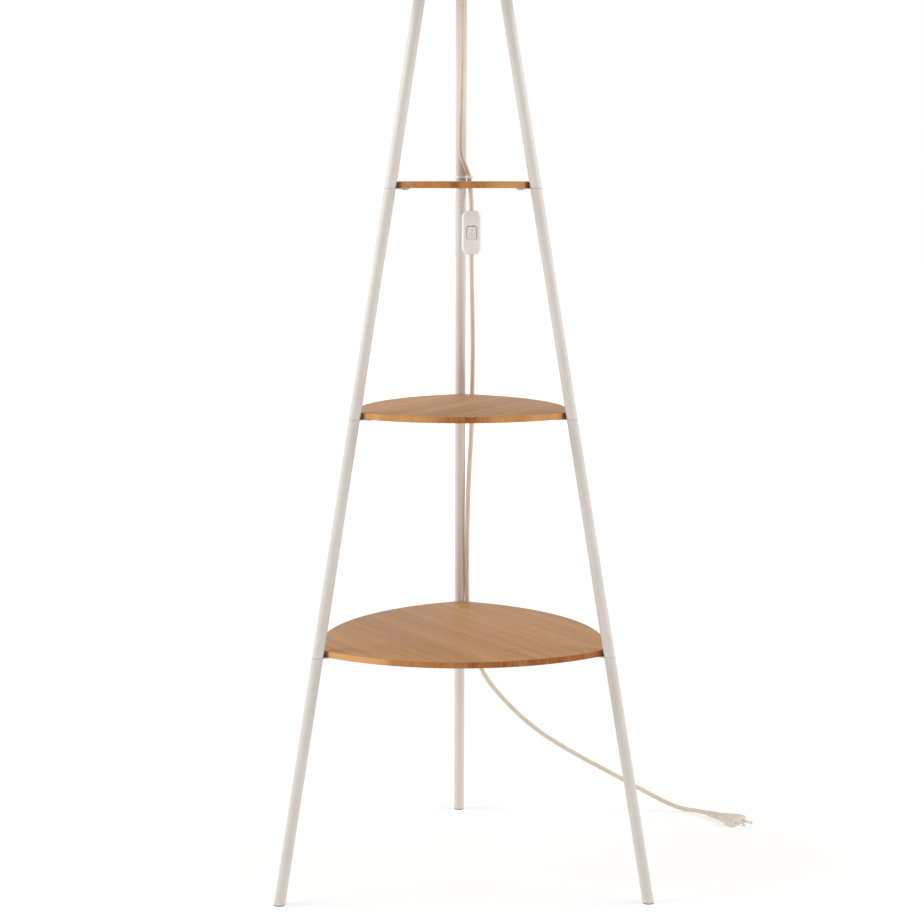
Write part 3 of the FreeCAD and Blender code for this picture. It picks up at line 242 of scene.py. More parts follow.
def felt_material():
    """Dark felt: tangled hairs and no gloss."""
    material, tree, shader, add, place = node_material("foot_felt")
    hairs = add("ShaderNodeTexNoise", {"Vector": place, "Scale": 2200.0, "Detail": 6.0, "Distortion": 1.2})
    tree.links.new(ramp(add, hairs.outputs["Fac"], ((0.3, (0.05, 0.055, 0.05)), (0.7, (0.13, 0.135, 0.12)))),
                   shader.inputs["Base Color"])
    bump(add, shader, tree, hairs.outputs["Fac"], 0.0002, 0.8)
    shader.inputs["Roughness"].default_value = 0.95
    shader.inputs["Sheen Weight"].default_value = 0.3
    return material


foot_plastic = plastic("foot_plastic", (0.72, 0.68, 0.63), 0.42)
FOOT_PROFILE = (
    (7.1, 1.2), (7.6, 1.3), (7.95, 1.6), (8.15, 2.1), (8.2, 2.8), (8.2, 4.5), (7.95, 4.8), (7.95, 5.1),
    (8.2, 5.4), (8.15, 6.0), (8.0, 6.2), (6.45, 6.2), (6.45, 20.2),
)
for side, azimuth in LEGS:
    cap = loft(side + "_foot", [leaning_loop(radius, height, azimuth) for radius, height in FOOT_PROFILE])
    cap.data.materials.append(foot_plastic)
    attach(cap, "lamp")
    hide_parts(side + "_foot_cap")
dress("foot_pads", felt_material())


# ---- shelf brackets
# Flat steel tabs, 1.6 mm thick, clamped in the legs' seams and screwed under the shelves. They have
# the legs' powder coat, a little greyer.

bracket_coat = powder_coat("bracket_powder_coat", (0.60, 0.555, 0.51), (0.52, 0.475, 0.43))
for side, azimuth in LEGS:
    for shelf in ("low", "middle", "top"):
        dress("%s_%s_bracket" % (side, shelf), bracket_coat)


# ---- shelves
# Three boards 9 mm thick, faced with oak veneer and edged with an orange-brown band. Each outline is
# three long arcs, and the three corners are cut off square beside the legs. The cut tips are painted
# dark brown as painted shade, standing in for the shadow in the narrow gap between each tip and its leg.

TUBE_RADIUS = 8.0
TIP_GAP = 0.5
SHELF_THICKNESS = 9.0
SHELF_BULGE = 0.826
TIP_BLUNT = 2.3
ARC_STEPS = 96
TIP_STEPS = 6


def tip_distance(underside):
    """From the middle to a cut tip, which stands a small gap off the tube at the board's top."""
    return FOOT_CIRCLE - LEAN * (underside + SHELF_THICKNESS) - TUBE_RADIUS * SPREAD - TIP_GAP


def shelf_loop(underside, inset, height):
    """The board's outline at a height: three arcs and three square tips, drawn in by the inset.
    Each arc's centre lies off the middle by the offset, towards the leg opposite to the arc."""
    tip = tip_distance(underside)
    corner = tip + TIP_BLUNT
    offset = corner * (1.0 - SHELF_BULGE ** 2) / (2.0 * SHELF_BULGE - 1.0)
    radius = offset + SHELF_BULGE * corner - inset
    tip -= inset
    half_tip = math.sqrt(radius ** 2 - (tip + offset / 2.0) ** 2) - offset * math.sqrt(0.75)
    points = []
    for side, azimuth in LEGS:
        centre = Vector((math.cos(math.radians(azimuth)), math.sin(math.radians(azimuth)))) * offset
        start = math.radians(azimuth + 120.0)
        end = math.radians(azimuth + 240.0)
        ends = []
        for turn, across in ((start, half_tip), (end, -half_tip)):
            out = Vector((math.cos(turn), math.sin(turn)))
            ends.append(out * tip + Vector((-out.y, out.x)) * across)
        angles = [math.atan2(place.y - centre.y, place.x - centre.x) for place in ends]
        sweep = (angles[1] - angles[0]) % math.tau
        for step in range(ARC_STEPS + 1):
            angle = angles[0] + sweep * step / ARC_STEPS
            points.append((centre.x + radius * math.cos(angle), centre.y + radius * math.sin(angle), height))
        out = Vector((math.cos(end), math.sin(end)))
        for step in range(1, TIP_STEPS):
            place = out * tip + Vector((-out.y, out.x)) * half_tip * (2.0 * step / TIP_STEPS - 1.0)
            points.append((place.x, place.y, height))
    return points


STRIP_WIDTH = 43.0


def maths(add, operation, *values):
    """The result of a math node on its values."""
    return add("ShaderNodeMath", dict(enumerate(values)), operation=operation).outputs[0]


def veneer_material(name, turn):
    """Oak veneer in strips: long grain, short dark pores and a satin lacquer."""
    material, tree, shader, add, place = node_material(name)
    turned = add("ShaderNodeMapping", {
        "Vector": place, "Rotation": (0.0, 0.0, math.radians(turn))}).outputs["Vector"]
    warp = add("ShaderNodeTexNoise", {"Vector": turned, "Scale": 5.0, "Detail": 2.0})
    # inputs 4 and 5 and output 1 of a mix node are its vectors
    bent = add("ShaderNodeMix", {"Factor": 0.012, 4: turned, 5: warp.outputs["Color"]},
               data_type="VECTOR").outputs[1]
    grain = drawn_noise(add, bent, (2.2, 70.0, 1.0), 6.0, 0.62)
    broad = drawn_noise(add, bent, (1.3, 14.0, 1.0), 3.0)
    pores = drawn_noise(add, turned, (55.0, 1500.0, 1.0), 2.0)
    across = add("ShaderNodeSeparateXYZ", {"Vector": turned}).outputs["Y"]
    strip = maths(add, "FLOOR", maths(add, "DIVIDE", across, STRIP_WIDTH * MM))
    strip_chance = add("ShaderNodeTexWhiteNoise", {"W": strip}, noise_dimensions="1D").outputs["Value"]
    body = ramp(add, grain, (
        (0.28, (0.40, 0.194, 0.074)), (0.5, (0.49, 0.25, 0.10)), (0.72, (0.57, 0.305, 0.13))))
    broad_tone = add("ShaderNodeMapRange", {"Value": broad, "From Min": 0.3, "From Max": 0.7,
                                            "To Min": 0.86, "To Max": 1.08}).outputs["Result"]
    strip_tone = add("ShaderNodeMapRange", {"Value": strip_chance, "To Min": 0.93, "To Max": 1.05}
                     ).outputs["Result"]
    pore_tone = add("ShaderNodeMapRange", {"Value": pores, "From Min": 0.56, "From Max": 0.72,
                                           "To Min": 1.0, "To Max": 0.72}).outputs["Result"]
    tone = maths(add, "MULTIPLY", maths(add, "MULTIPLY", broad_tone, strip_tone), pore_tone)
    shaded = add("ShaderNodeVectorMath", {0: body, "Scale": tone}, operation="SCALE").outputs["Vector"]
    tree.links.new(shaded, shader.inputs["Base Color"])
    bump(add, shader, tree, pore_tone, 0.00012, 0.6)
    gloss(add, shader, tree, grain, 0.4, 0.56)
    shader.inputs["Specular IOR Level"].default_value = 0.35
    return material


BAND_REACH = 200.0
JOINT_HALF_WIDTH = 0.5


def edge_material(name, light, dark, tones, joint_x=None):
    """The band round a shelf's edge: upright fibres in orange-brown. The tones run along the front
    edge, as (x, darkness), and are partly the band's own tone and partly painted light: lighter stretches
    stand in for sheen and light from the side lamps on the curved edge, darker ones for shade. The joint
    is a thin dark line where the band's ends meet."""
    material, tree, shader, add, place = node_material(name)
    fibres = drawn_noise(add, place, (330.0, 330.0, 60.0), 4.0, 0.65, Rotation=(0.0, 0.25, 0.0))
    patches = drawn_noise(add, place, (60.0, 60.0, 12.0), 3.0, Location=(2.6, 0.4, 0.0))
    x_place = add("ShaderNodeSeparateXYZ", {"Vector": place}).outputs["X"]
    along = add("ShaderNodeMapRange", {
        "Value": x_place, "From Min": -BAND_REACH * MM, "From Max": BAND_REACH * MM}).outputs["Result"]
    # The tones along x carry painted highlight and painted shade as well as the band's own tone.
    tone = ramp(add, along, [(x / (2.0 * BAND_REACH) + 0.5, (darkness,) * 3) for x, darkness in tones])
    streaks = maths(add, "MULTIPLY", maths(add, "MULTIPLY_ADD", fibres, 0.9, -0.45), tone)
    clouds = maths(add, "MULTIPLY_ADD", patches, 0.6, -0.3)
    mixed = maths(add, "ADD", maths(add, "ADD", streaks, clouds), tone)
    middle = tuple((bright + dim) / 2.0 for bright, dim in zip(light, dark))
    colour = ramp(add, mixed, ((0.1, light), (0.5, middle), (0.9, dark)))
    if joint_x is not None:
        at_joint = maths(add, "COMPARE", x_place, joint_x * MM, JOINT_HALF_WIDTH * MM)
        shade = add("ShaderNodeMapRange", {
            "Value": at_joint, "To Min": 1.0, "To Max": 0.45}).outputs["Result"]
        colour = add("ShaderNodeVectorMath", {0: colour, "Scale": shade}, operation="SCALE").outputs["Vector"]
    tree.links.new(colour, shader.inputs["Base Color"])
    bump(add, shader, tree, fibres, 0.0001, 0.5)
    gloss(add, shader, tree, fibres, 0.42, 0.58)
    shader.inputs["Specular IOR Level"].default_value = 0.3
    return material


# Painted shade: a dark brown on the cut tips that stands in for the shadow in the gap between tip and leg, a
# little darker towards +X.
tip_painted_shade = edge_material("shelf_tip_painted_shade", (0.36, 0.155, 0.05), (0.17, 0.07, 0.02),
                          ((-BAND_REACH, 0.5), (BAND_REACH, 0.7)))
BAND_LIGHT = (0.70, 0.35, 0.12)
BAND_DARK = (0.30, 0.085, 0.012)
BOTTOM_JOINT = 10.4
# Darkness along each shelf's front edge, by x: partly the band's own tone, partly painted highlight and
# painted shade for how the side lamps fall on the curved edge.
BOTTOM_TONE_AND_LIGHT = ((-180.0, -0.15), (-130.0, 0.0), (-100.0, 0.5), (-50.0, 0.66), (0.0, 0.68),
                (BOTTOM_JOINT, 0.78), (88.0, 0.78), (94.0, 0.92), (180.0, 0.8))
MIDDLE_TONE_AND_LIGHT = ((-125.0, 0.25), (-40.0, 0.45), (-15.0, 0.8), (14.0, 0.85), (24.0, 0.55), (125.0, 0.3))
TOP_TONE_AND_LIGHT = ((-80.0, 0.6), (-22.0, 0.55), (-12.0, 0.85), (0.0, 0.6), (20.0, 0.7), (50.0, 0.4), (80.0, 0.45))
# How near a side face must lie to a cut tip's plane to take the painted shade.
TIP_SHADE_DEPTH = 1.2


def both_faces(lower, thickness):
    """A section from its lower half: rows of (reach, level, ...), repeated upside down."""
    return lower + tuple((row[0], thickness - row[1], *row[2:]) for row in reversed(lower))


BOARD_PROFILE = both_faces(((0.7, 0.0), (0.3, 0.15), (0.08, 0.4), (0.0, 0.8)), SHELF_THICKNESS)
# node, height of the underside, turn of the grain in degrees, tones (partly painted light) and joint of the
# edge band
SHELVES = (
    ("bottom_shelf", 353.9, 60.0, BOTTOM_TONE_AND_LIGHT, BOTTOM_JOINT),
    ("middle_shelf", 691.1, -60.0, MIDDLE_TONE_AND_LIGHT, None),
    ("top_shelf", 1015.8, 60.0, TOP_TONE_AND_LIGHT, None),
)
for label, underside, grain_turn, tones, joint_x in SHELVES:
    board = loft(label + "_board", [
        shelf_loop(underside, inset, underside + level) for inset, level in BOARD_PROFILE])
    edge_band = edge_material(label + "_edge", BAND_LIGHT, BAND_DARK, tones, joint_x)
    for material in (veneer_material(label + "_veneer", grain_turn), edge_band, tip_painted_shade):
        board.data.materials.append(material)
    tips = [Vector((math.cos(math.radians(azimuth)), math.sin(math.radians(azimuth)), 0.0))
            for side, azimuth in LEGS]
    for face in board.data.polygons:
        if abs(face.normal.z) > 0.8:
            continue
        # Side faces at a cut tip get the painted shade, and the other side faces get the edge band.
        at_tip = max(face.center.dot(out) for out in tips) > (tip_distance(underside) - TIP_SHADE_DEPTH) * MM
        face.material_index = 2 if at_tip else 1
    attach(board, "lamp")
    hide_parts(label)


# ---- hub
# A round steel plate, powder coated like the legs, is screwed down on their upper ends. The cord
# comes out under it through a nut and a ribbed plastic grip.

def round_loop(radius, height, steps=ROUND_STEPS, centre=(0.0, 0.0), shape=None):
    """A circle; shape changes the radius with the angle."""
    loop = []
    for step in range(steps):
        angle = math.tau * step / steps
        reach = radius if shape is None else radius + shape(angle)
        loop.append((centre[0] + reach * math.cos(angle), centre[1] + reach * math.sin(angle), height))
    return loop


PLATE_THICKNESS = 4.0
PLATE_PROFILE = both_faces(((6.7, 0.0), (68.9, 0.0), (69.6, 0.3), (70.0, 1.0)), PLATE_THICKNESS)
plate = loft("hub_plate_disc", [
    round_loop(radius, HUB_LOW + level, 128) for radius, level in PLATE_PROFILE], closed=True)
plate.data.materials.append(leg_coat)
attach(plate, "lamp")
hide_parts("hub_plate")


def ribbed(depth, count):
    """Rounded grooves cut into a radius, evenly round it."""
    return lambda angle: -depth * (0.5 + 0.5 * math.cos(count * angle)) ** 3


white_plastic = plastic("white_plastic", (0.84, 0.825, 0.79), 0.3)
GRIP_LOW = HUB_LOW - 25.3
GRIP_RIBS = 20
GRIP_PROFILE = (  # radius, level above the grip's lower end, depth of the grooves
    (3.65, 0.1, 0.0), (5.9, 0.0, 0.0), (6.4, 0.3, 0.0), (7.0, 1.7, 0.0), (7.9, 3.5, 0.0), (8.3, 4.5, 0.0),
    (8.5, 5.5, 0.5), (8.5, 18.5, 0.5), (8.5, 19.5, 0.0), (8.3, 20.6, 0.0), (7.9, 21.0, 0.0), (6.6, 21.0, 0.0),
    (6.6, 10.9, 0.0), (3.65, 10.7, 0.0),
)
grip = loft("cord_grip_sleeve", [
    round_loop(radius, GRIP_LOW + level, 160, shape=ribbed(depth, GRIP_RIBS))
    for radius, level, depth in GRIP_PROFILE], closed=True)
grip.data.materials.append(white_plastic)
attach(grip, "lamp")
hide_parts("cord_grip")


# ---- mains cord
# A round flexible cord in a matt cream PVC sheath, 7 mm thick. It drops from the grip under the hub,
# hangs to the clip on the rear tube and goes into the switch, then runs down behind the two lower
# shelves and out over the floor to its plug.

def sheath_material():
    """Cream PVC: faint cloudy tone, fine drawn texture and a dull sheen."""
    material, tree, shader, add, place = node_material("cord_sheath")
    cloud = add("ShaderNodeTexNoise", {"Vector": place, "Scale": 45.0, "Detail": 3.0}).outputs["Fac"]
    tree.links.new(ramp(add, cloud, (
        (0.3, (0.64, 0.545, 0.44)), (0.7, (0.71, 0.62, 0.515)))), shader.inputs["Base Color"])
    fine = add("ShaderNodeTexNoise", {"Vector": place, "Scale": 1400.0, "Detail": 2.0})
    bump(add, shader, tree, fine.outputs["Fac"], 0.00008, 0.5)
    gloss(add, shader, tree, cloud, 0.42, 0.55)
    shader.inputs["Sheen Weight"].default_value = 0.15
    return material


CORD_DIAMETER = 7.0
UPPER_ROUTE = (
    (0.0, 0.0, 1326.0), (0.0, 0.0, 1290.0), (0.0, 10.0, 1240.0), (0.5, 34.0, 1184.0), (0.0, 60.0, 1134.0),
    (-1.4, 82.0, 1092.0), (-0.6, 96.5, 1064.0), (6.4, 101.4, 1047.0), (12.4, 109.4, 1031.0),
    (14.0, 113.2, 1014.5), (15.6, 109.0, 995.0), (15.6, 109.0, 976.0),
)
LOWER_ROUTE = (
    (15.6, 109.0, 921.0), (15.6, 109.0, 892.0), (17.2, 122.0, 842.0), (18.6, 145.0, 778.0),
    (18.4, 170.0, 710.0), (17.8, 186.0, 640.0), (13.8, 196.0, 570.0), (11.6, 206.0, 500.0),
    (11.2, 221.0, 430.0), (11.6, 236.0, 362.0), (16.2, 241.0, 300.0), (36.0, 242.0, 242.0),
    (74.0, 245.0, 194.5), (122.0, 249.0, 148.0), (181.0, 254.0, 109.0), (243.0, 263.0, 73.0),
    (302.0, 275.0, 37.0), (342.0, 284.0, 13.0), (370.0, 281.0, 3.4), (391.0, 263.0, 6.9),
    (410.0, 243.0, 6.9),
)


def cord_curve(name, route):
    """A smooth round cord whose control points are the route's points."""
    data = bpy.data.curves.new(name, "CURVE")
    data.dimensions = "3D"
    data.resolution_u = 16
    data.bevel_depth = CORD_DIAMETER / 2 * MM
    data.bevel_resolution = 6
    data.use_fill_caps = True
    spline = data.splines.new("NURBS")
    spline.points.add(len(route) - 1)
    for control, place in zip(spline.points, route):
        control.co = (*(value * MM for value in place), 1.0)
    spline.order_u = 3
    spline.use_endpoint_u = True
    cord = bpy.data.objects.new(name, data)
    bpy.context.scene.collection.objects.link(cord)
    return cord


cord_sheath = sheath_material()
upper_cord = cord_curve("cord_to_switch", UPPER_ROUTE)
lower_cord = cord_curve("cord_to_plug", LOWER_ROUTE)
for cord, node in ((upper_cord, "cord_upper"), (lower_cord, "cord_lower")):
    cord.data.materials.append(cord_sheath)
    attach(cord, "lamp")
    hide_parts(node)


# ---- lampholder
# A white screw lampholder in two parts: a ribbed lower cap screwed to the threaded tube, and a shell
# with an outside thread for the two shade rings. Inside are an insulating block and brass contacts.

HUB_TOP = HUB_LOW + PLATE_THICKNESS
HOLDER_RIBS = 36
CAP_PROFILE = (  # radius, level above the hub, depth of the grooves
    (6.6, 0.0, 0.0), (17.2, 0.0, 0.0), (18.0, 0.3, 0.0), (19.9, 2.2, 0.0), (20.4, 3.0, 0.0), (20.5, 3.8, 0.0),
    (20.5, 4.6, 0.45), (20.5, 13.6, 0.45), (20.5, 14.4, 0.0), (20.5, 15.2, 0.0), (20.2, 15.9, 0.0),
    (18.45, 16.0, 0.0), (18.4, 21.0, 0.0), (16.4, 21.0, 0.0), (16.4, 8.0, 0.0), (6.6, 8.0, 0.0),
)
holder_cap = loft("lampholder_lower_cap", [
    round_loop(radius, HUB_TOP + level, 288, shape=ribbed(depth, HOLDER_RIBS))
    for radius, level, depth in CAP_PROFILE], closed=True)
THREAD_RADIUS = 19.7
THREAD_PITCH = 2.6
THREAD_DEPTH = 0.55
THREAD_LOW = 32.0
THREAD_STEP = 0.4
THREAD_STEPS = 60


def thread(level):
    """Radius of the outside thread round one level: a rounded ridge that climbs one pitch a turn."""
    return lambda angle: -THREAD_DEPTH * (0.5 + 0.5 * math.cos(math.tau * level / THREAD_PITCH - angle))


shell_loops = [round_loop(radius, HUB_TOP + level, 144) for radius, level in (
    (18.6, 16.2), (20.2, 16.1), (20.5, 16.5), (20.5, 30.4), (20.3, 31.2), (19.75, 31.8))]
for index in range(THREAD_STEPS + 1):
    level = THREAD_LOW + THREAD_STEP * index
    shell_loops.append(round_loop(THREAD_RADIUS, HUB_TOP + level, 144, shape=thread(level)))
shell_loops += [round_loop(radius, HUB_TOP + level, 144) for radius, level in (
    (19.3, 57.2), (18.6, 57.9), (14.2, 58.0), (13.65, 57.4), (13.6, 30.2), (18.5, 30.0))]
holder_shell = loft("lampholder_threaded_shell", shell_loops, closed=True)
for piece, node in ((holder_cap, "lampholder_cap"), (holder_shell, "lampholder_shell")):
    piece.data.materials.append(white_plastic)
    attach(piece, "lamp")
    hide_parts(node)
dress("lampholder_block", plastic("insulating_block", (0.80, 0.78, 0.72), 0.6, 500.0, 0.00008))
brass = plated_metal("contact_brass", (0.80, 0.60, 0.27), 0.28, 0.00002)
dress("lampholder_contacts", brass)
dress("lampholder_lead", cord_sheath)


# ---- bulb
# A globe bulb with a nickel-plated screw cap, a white plastic base that widens to the globe, and an
# opal globe 60 mm across.

dress("bulb_cap", plated_metal("bulb_nickel", (0.68, 0.67, 0.64), 0.24, 0.00002))
bulb_base = loft("bulb_neck", [round_loop(radius, HUB_TOP + level, 96) for radius, level in (
    (12.9, 58.1), (14.2, 58.2), (14.7, 59.0), (15.3, 62.0), (17.0, 67.5), (19.4, 73.0), (21.9, 78.0),
    (24.0, 82.0), (25.3, 84.6), (25.8, 85.7), (25.6, 86.0), (24.6, 86.0))])
bulb_base.data.materials.append(white_plastic)
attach(bulb_base, "lamp")
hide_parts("bulb_base")


def opal_material():
    """Opal glass: milky and faintly warm, with a smooth clear surface."""
    material, tree, shader, add, place = node_material("bulb_opal")
    milk = add("ShaderNodeTexNoise", {"Vector": place, "Scale": 22.0, "Detail": 2.0})
    tree.links.new(ramp(add, milk.outputs["Fac"], ((0.3, (0.86, 0.85, 0.81)), (0.7, (0.90, 0.89, 0.86)))),
                   shader.inputs["Base Color"])
    shader.inputs["Roughness"].default_value = 0.22
    shader.inputs["Subsurface Weight"].default_value = 0.25
    shader.inputs["Subsurface Radius"].default_value = (0.01, 0.01, 0.009)
    shader.inputs["Coat Weight"].default_value = 0.5
    shader.inputs["Coat Roughness"].default_value = 0.08
    return material


GLOBE_RADIUS = 30.0
GLOBE_MIDDLE = HUB_TOP + 101.0
GLOBE_LOW_ANGLE = -29.0
GLOBE_SWEEP = 118.0
GLOBE_STEPS = 32
globe_profile = []
for index in range(GLOBE_STEPS + 1):
    angle = math.radians(GLOBE_LOW_ANGLE + GLOBE_SWEEP * index / GLOBE_STEPS)
    globe_profile.append((GLOBE_RADIUS * math.cos(angle), GLOBE_MIDDLE + GLOBE_RADIUS * math.sin(angle)))
globe = loft("bulb_opal_globe", [round_loop(radius, height, 96) for radius, height in globe_profile])
globe.data.materials.append(opal_material())
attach(globe, "lamp")
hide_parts("bulb_globe")


# ---- shade
# A drum of plain linen on a white backing, glued round a wire ring at each rim. The lower ring is
# part of a carrier whose three wire arms rise to a washer, which two ribbed rings hold on the
# lampholder. The cloth is turned in over each rim and overlaps in one upright seam at the back.

RING_HEIGHT = 4.0
RING_PROFILE = both_faces((
    (19.85, 0.4, 0.0), (20.3, 0.0, 0.0), (26.0, 0.0, 0.0), (26.8, 0.3, 0.4), (27.0, 0.8, 0.9)), RING_HEIGHT)
for node, ring_low in (("lower_shade_ring", 34.0), ("upper_shade_ring", 39.5)):
    ring = loft(node + "_nut", [
        round_loop(radius, HUB_TOP + ring_low + level, 288, shape=ribbed(depth, HOLDER_RIBS))
        for radius, level, depth in RING_PROFILE], closed=True)
    ring.data.materials.append(white_plastic)
    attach(ring, "lamp")
    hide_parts(node)
ring_coat = plastic("white_wire_coat", (0.82, 0.81, 0.78), 0.36, 300.0, 0.00006)
dress("shade_carrier", ring_coat)
dress("shade_top_ring", ring_coat)


SHADE_RADIUS = 190.0


def linen_material():
    """Plain weave with thicker threads here and there, warm white, on the drum's unrolled face."""
    material, tree, shader, add, place = node_material("shade_linen")
    parts = add("ShaderNodeSeparateXYZ", {"Vector": place})
    angle = maths(add, "ARCTAN2", parts.outputs["Y"], parts.outputs["X"])
    way_round = maths(add, "MULTIPLY", angle, SHADE_RADIUS * MM)
    unrolled = add("ShaderNodeCombineXYZ", {"X": way_round, "Y": parts.outputs["Z"]}).outputs["Vector"]

    def threads(scale, direction):
        return add("ShaderNodeTexWave", {"Vector": unrolled, "Scale": scale, "Distortion": 1.2, "Detail": 1.0,
                                         "Detail Scale": 0.4}, bands_direction=direction).outputs["Fac"]

    weave = maths(add, "MAXIMUM", threads(280.0, "X"), threads(280.0, "Y"))
    slubs = [drawn_noise(add, unrolled, scales, 1.0, distortion=0.35)
             for scales in ((620.0, 7.0, 1.0), (9.0, 700.0, 1.0))]
    slub = maths(add, "ADD", *slubs)
    mean_slub = maths(add, "DIVIDE", slub, 2.0)
    tree.links.new(ramp(add, mean_slub, (
        (0.36, (0.66, 0.60, 0.515)), (0.5, (0.72, 0.665, 0.585)), (0.66, (0.785, 0.735, 0.66)))),
        shader.inputs["Base Color"])
    bump(add, shader, tree, maths(add, "ADD", weave, slub), 0.00022, 0.7)
    shader.inputs["Roughness"].default_value = 0.88
    shader.inputs["Sheen Weight"].default_value = 0.25
    shader.inputs["Subsurface Weight"].default_value = 0.1
    shader.inputs["Subsurface Radius"].default_value = (0.004, 0.004, 0.003)
    return material


SHADE_LOW = 1308.0
SHADE_HIGH = 1548.0
SHADE_HEM = 9.0
SEAM_HALF_TURN = 5.5 / SHADE_RADIUS
SEAM_SOFT_TURN = 0.002
CLOTH_THICKNESS = 0.45


def shade_seam(thickness):
    """The overlap at the back stands one cloth's thickness proud, with a soft edge."""
    def shape(angle):
        away = abs(angle - math.pi / 2.0)
        return thickness * min(1.0, max(0.0, (SEAM_HALF_TURN - away) / SEAM_SOFT_TURN + 0.5))
    return shape


OUTSIDE_RADIUS = 189.6
INSIDE_RADIUS = 189.5
SHADE_PROFILE = (
    (189.35, SHADE_LOW + 0.2), (189.8, SHADE_LOW), (190.25, SHADE_LOW + 0.2), (190.45, SHADE_LOW + 0.8),
    (190.45, SHADE_LOW + 7.2), (190.35, SHADE_LOW + 7.7), (190.0, SHADE_LOW + 8.0),
    (189.95, SHADE_LOW + 60.0), (189.9, SHADE_LOW + 120.0), (189.95, SHADE_HIGH - 60.0),
    (190.0, SHADE_HIGH - 8.0), (190.35, SHADE_HIGH - 7.7), (190.45, SHADE_HIGH - 7.2),
    (190.45, SHADE_HIGH - 0.8), (190.25, SHADE_HIGH - 0.2), (189.8, SHADE_HIGH), (189.35, SHADE_HIGH - 0.2),
    (189.1, SHADE_HIGH - 0.8), (189.1, SHADE_HIGH - SHADE_HEM), (189.3, SHADE_HIGH - SHADE_HEM - 0.3),
    (189.3, SHADE_LOW + SHADE_HEM + 0.3), (189.1, SHADE_LOW + SHADE_HEM), (189.1, SHADE_LOW + 0.8),
)
drum = loft("shade_drum", [
    round_loop(radius, height, 720, shape=shade_seam(CLOTH_THICKNESS if radius > OUTSIDE_RADIUS else 0.0))
    for radius, height in SHADE_PROFILE], closed=True)
linen = linen_material()
backing = plastic("shade_backing", (0.82, 0.805, 0.765), 0.5, 400.0, 0.00003, 0.985)
for material in (linen, backing):
    drum.data.materials.append(material)
for face in drum.data.polygons:
    from_axis = math.hypot(face.center.x, face.center.y)
    outward = face.normal.x * face.center.x + face.normal.y * face.center.y
    between_hems = (SHADE_LOW + SHADE_HEM) * MM < face.center.z < (SHADE_HIGH - SHADE_HEM) * MM
    if outward < 0.0 and from_axis < INSIDE_RADIUS * MM and between_hems:
        face.material_index = 1
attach(drum, "lamp")
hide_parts("shade_skin")


# ---- cable clip
# A small moulded clip in two rings side by side: one snaps round the rear tube, the other holds the
# cord loosely.

CLIP_LOW = 1028.0
CLIP_HIGH = 1032.6
CLIP_SOFTENING = 0.5
CORD_RING_CENTRE = (12.072, 109.177)
LEG_RING_RADIUS = 9.4
LEG_BORE_RADIUS = TUBE_RADIUS + 0.05
CORD_RING_RADIUS = 6.35
CORD_BORE_RADIUS = 4.95
BORE_HEIGHTS = (CLIP_LOW - 2.0, CLIP_HIGH + 1.4)


def combine(piece, other, operation):
    """Joins or cuts one mesh with another, and removes the other."""
    work = piece.modifiers.new("combine", "BOOLEAN")
    work.object = other
    work.operation = operation
    work.solver = "EXACT"
    shaped = bpy.data.meshes.new_from_object(piece.evaluated_get(bpy.context.evaluated_depsgraph_get()))
    piece.modifiers.clear()
    shaped.set_sharp_from_angle(angle=math.radians(40.0))
    old = piece.data
    piece.data = shaped
    bpy.data.meshes.remove(old)
    bpy.data.objects.remove(other)


def rounded_ends(radius, low, high, soften):
    """Radius and height pairs of a short post with softened edges."""
    return ((radius - soften, low), (radius - soften * 0.3, low + soften * 0.3), (radius, low + soften),
            (radius, high - soften), (radius - soften * 0.3, high - soften * 0.3), (radius - soften, high))


REAR_AZIMUTH = dict(LEGS)["rear"]
clip = loft("cord_clip", [
    leaning_loop(radius, height, REAR_AZIMUTH)
    for radius, height in rounded_ends(LEG_RING_RADIUS, CLIP_LOW, CLIP_HIGH, CLIP_SOFTENING)])
cord_post = loft("clip_cord_post", [
    round_loop(radius, height, centre=CORD_RING_CENTRE)
    for radius, height in rounded_ends(CORD_RING_RADIUS, CLIP_LOW, CLIP_HIGH, CLIP_SOFTENING)])
leg_bore = loft("clip_leg_bore", [
    leaning_loop(LEG_BORE_RADIUS, height, REAR_AZIMUTH) for height in BORE_HEIGHTS])
cord_bore = loft("clip_cord_bore", [
    round_loop(CORD_BORE_RADIUS, height, centre=CORD_RING_CENTRE) for height in BORE_HEIGHTS])
combine(clip, cord_post, "UNION")
combine(clip, leg_bore, "DIFFERENCE")
combine(clip, cord_bore, "DIFFERENCE")
clip.data.materials.clear()
clip.data.materials.append(plastic("clip_plastic", (0.86, 0.84, 0.81), 0.32))
for face in clip.data.polygons:
    face.material_index = 0
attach(clip, "lamp")
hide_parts("cable_clip")


# ---- inline switch
# Two moulded halves: a long octagon with softened corners and a bevelled front. The rocker's opening
# is close round it, with a shallow step at its rim. Two screws come in from the back.

SWITCH_CENTRE = (15.6, 109.0, 948.5)
SWITCH_HALF_WIDTH = 14.5
SWITCH_HALF_LENGTH = 32.5
CORNER_CUT_ACROSS = 5.2
CORNER_CUT_ALONG = 6.5
CORNER_SOFTENING = 6.0
OPENING_HALF_WIDTH = 7.4
OPENING_HALF_LENGTH = 10.2
OPENING_CORNER = 3.6


def rounded_outline(corners, radius, steps):
    """A polygon with its corners rounded, each by the same number of points."""
    points = []
    for before, corner, after in zip(corners[-1:] + corners[:-1], corners, corners[1:] + corners[:1]):
        corner = Vector(corner)
        back = (Vector(before) - corner).normalized()
        ahead = (Vector(after) - corner).normalized()
        half = back.angle(ahead) / 2.0
        centre = corner + (back + ahead).normalized() * (radius / math.sin(half))
        first = corner + back * (radius / math.tan(half)) - centre
        last = corner + ahead * (radius / math.tan(half)) - centre
        turn = first.angle_signed(last)
        for step in range(steps):
            angle = -turn * step / (steps - 1)
            points.append((centre.x + first.x * math.cos(angle) - first.y * math.sin(angle),
                           centre.y + first.x * math.sin(angle) + first.y * math.cos(angle)))
    return points


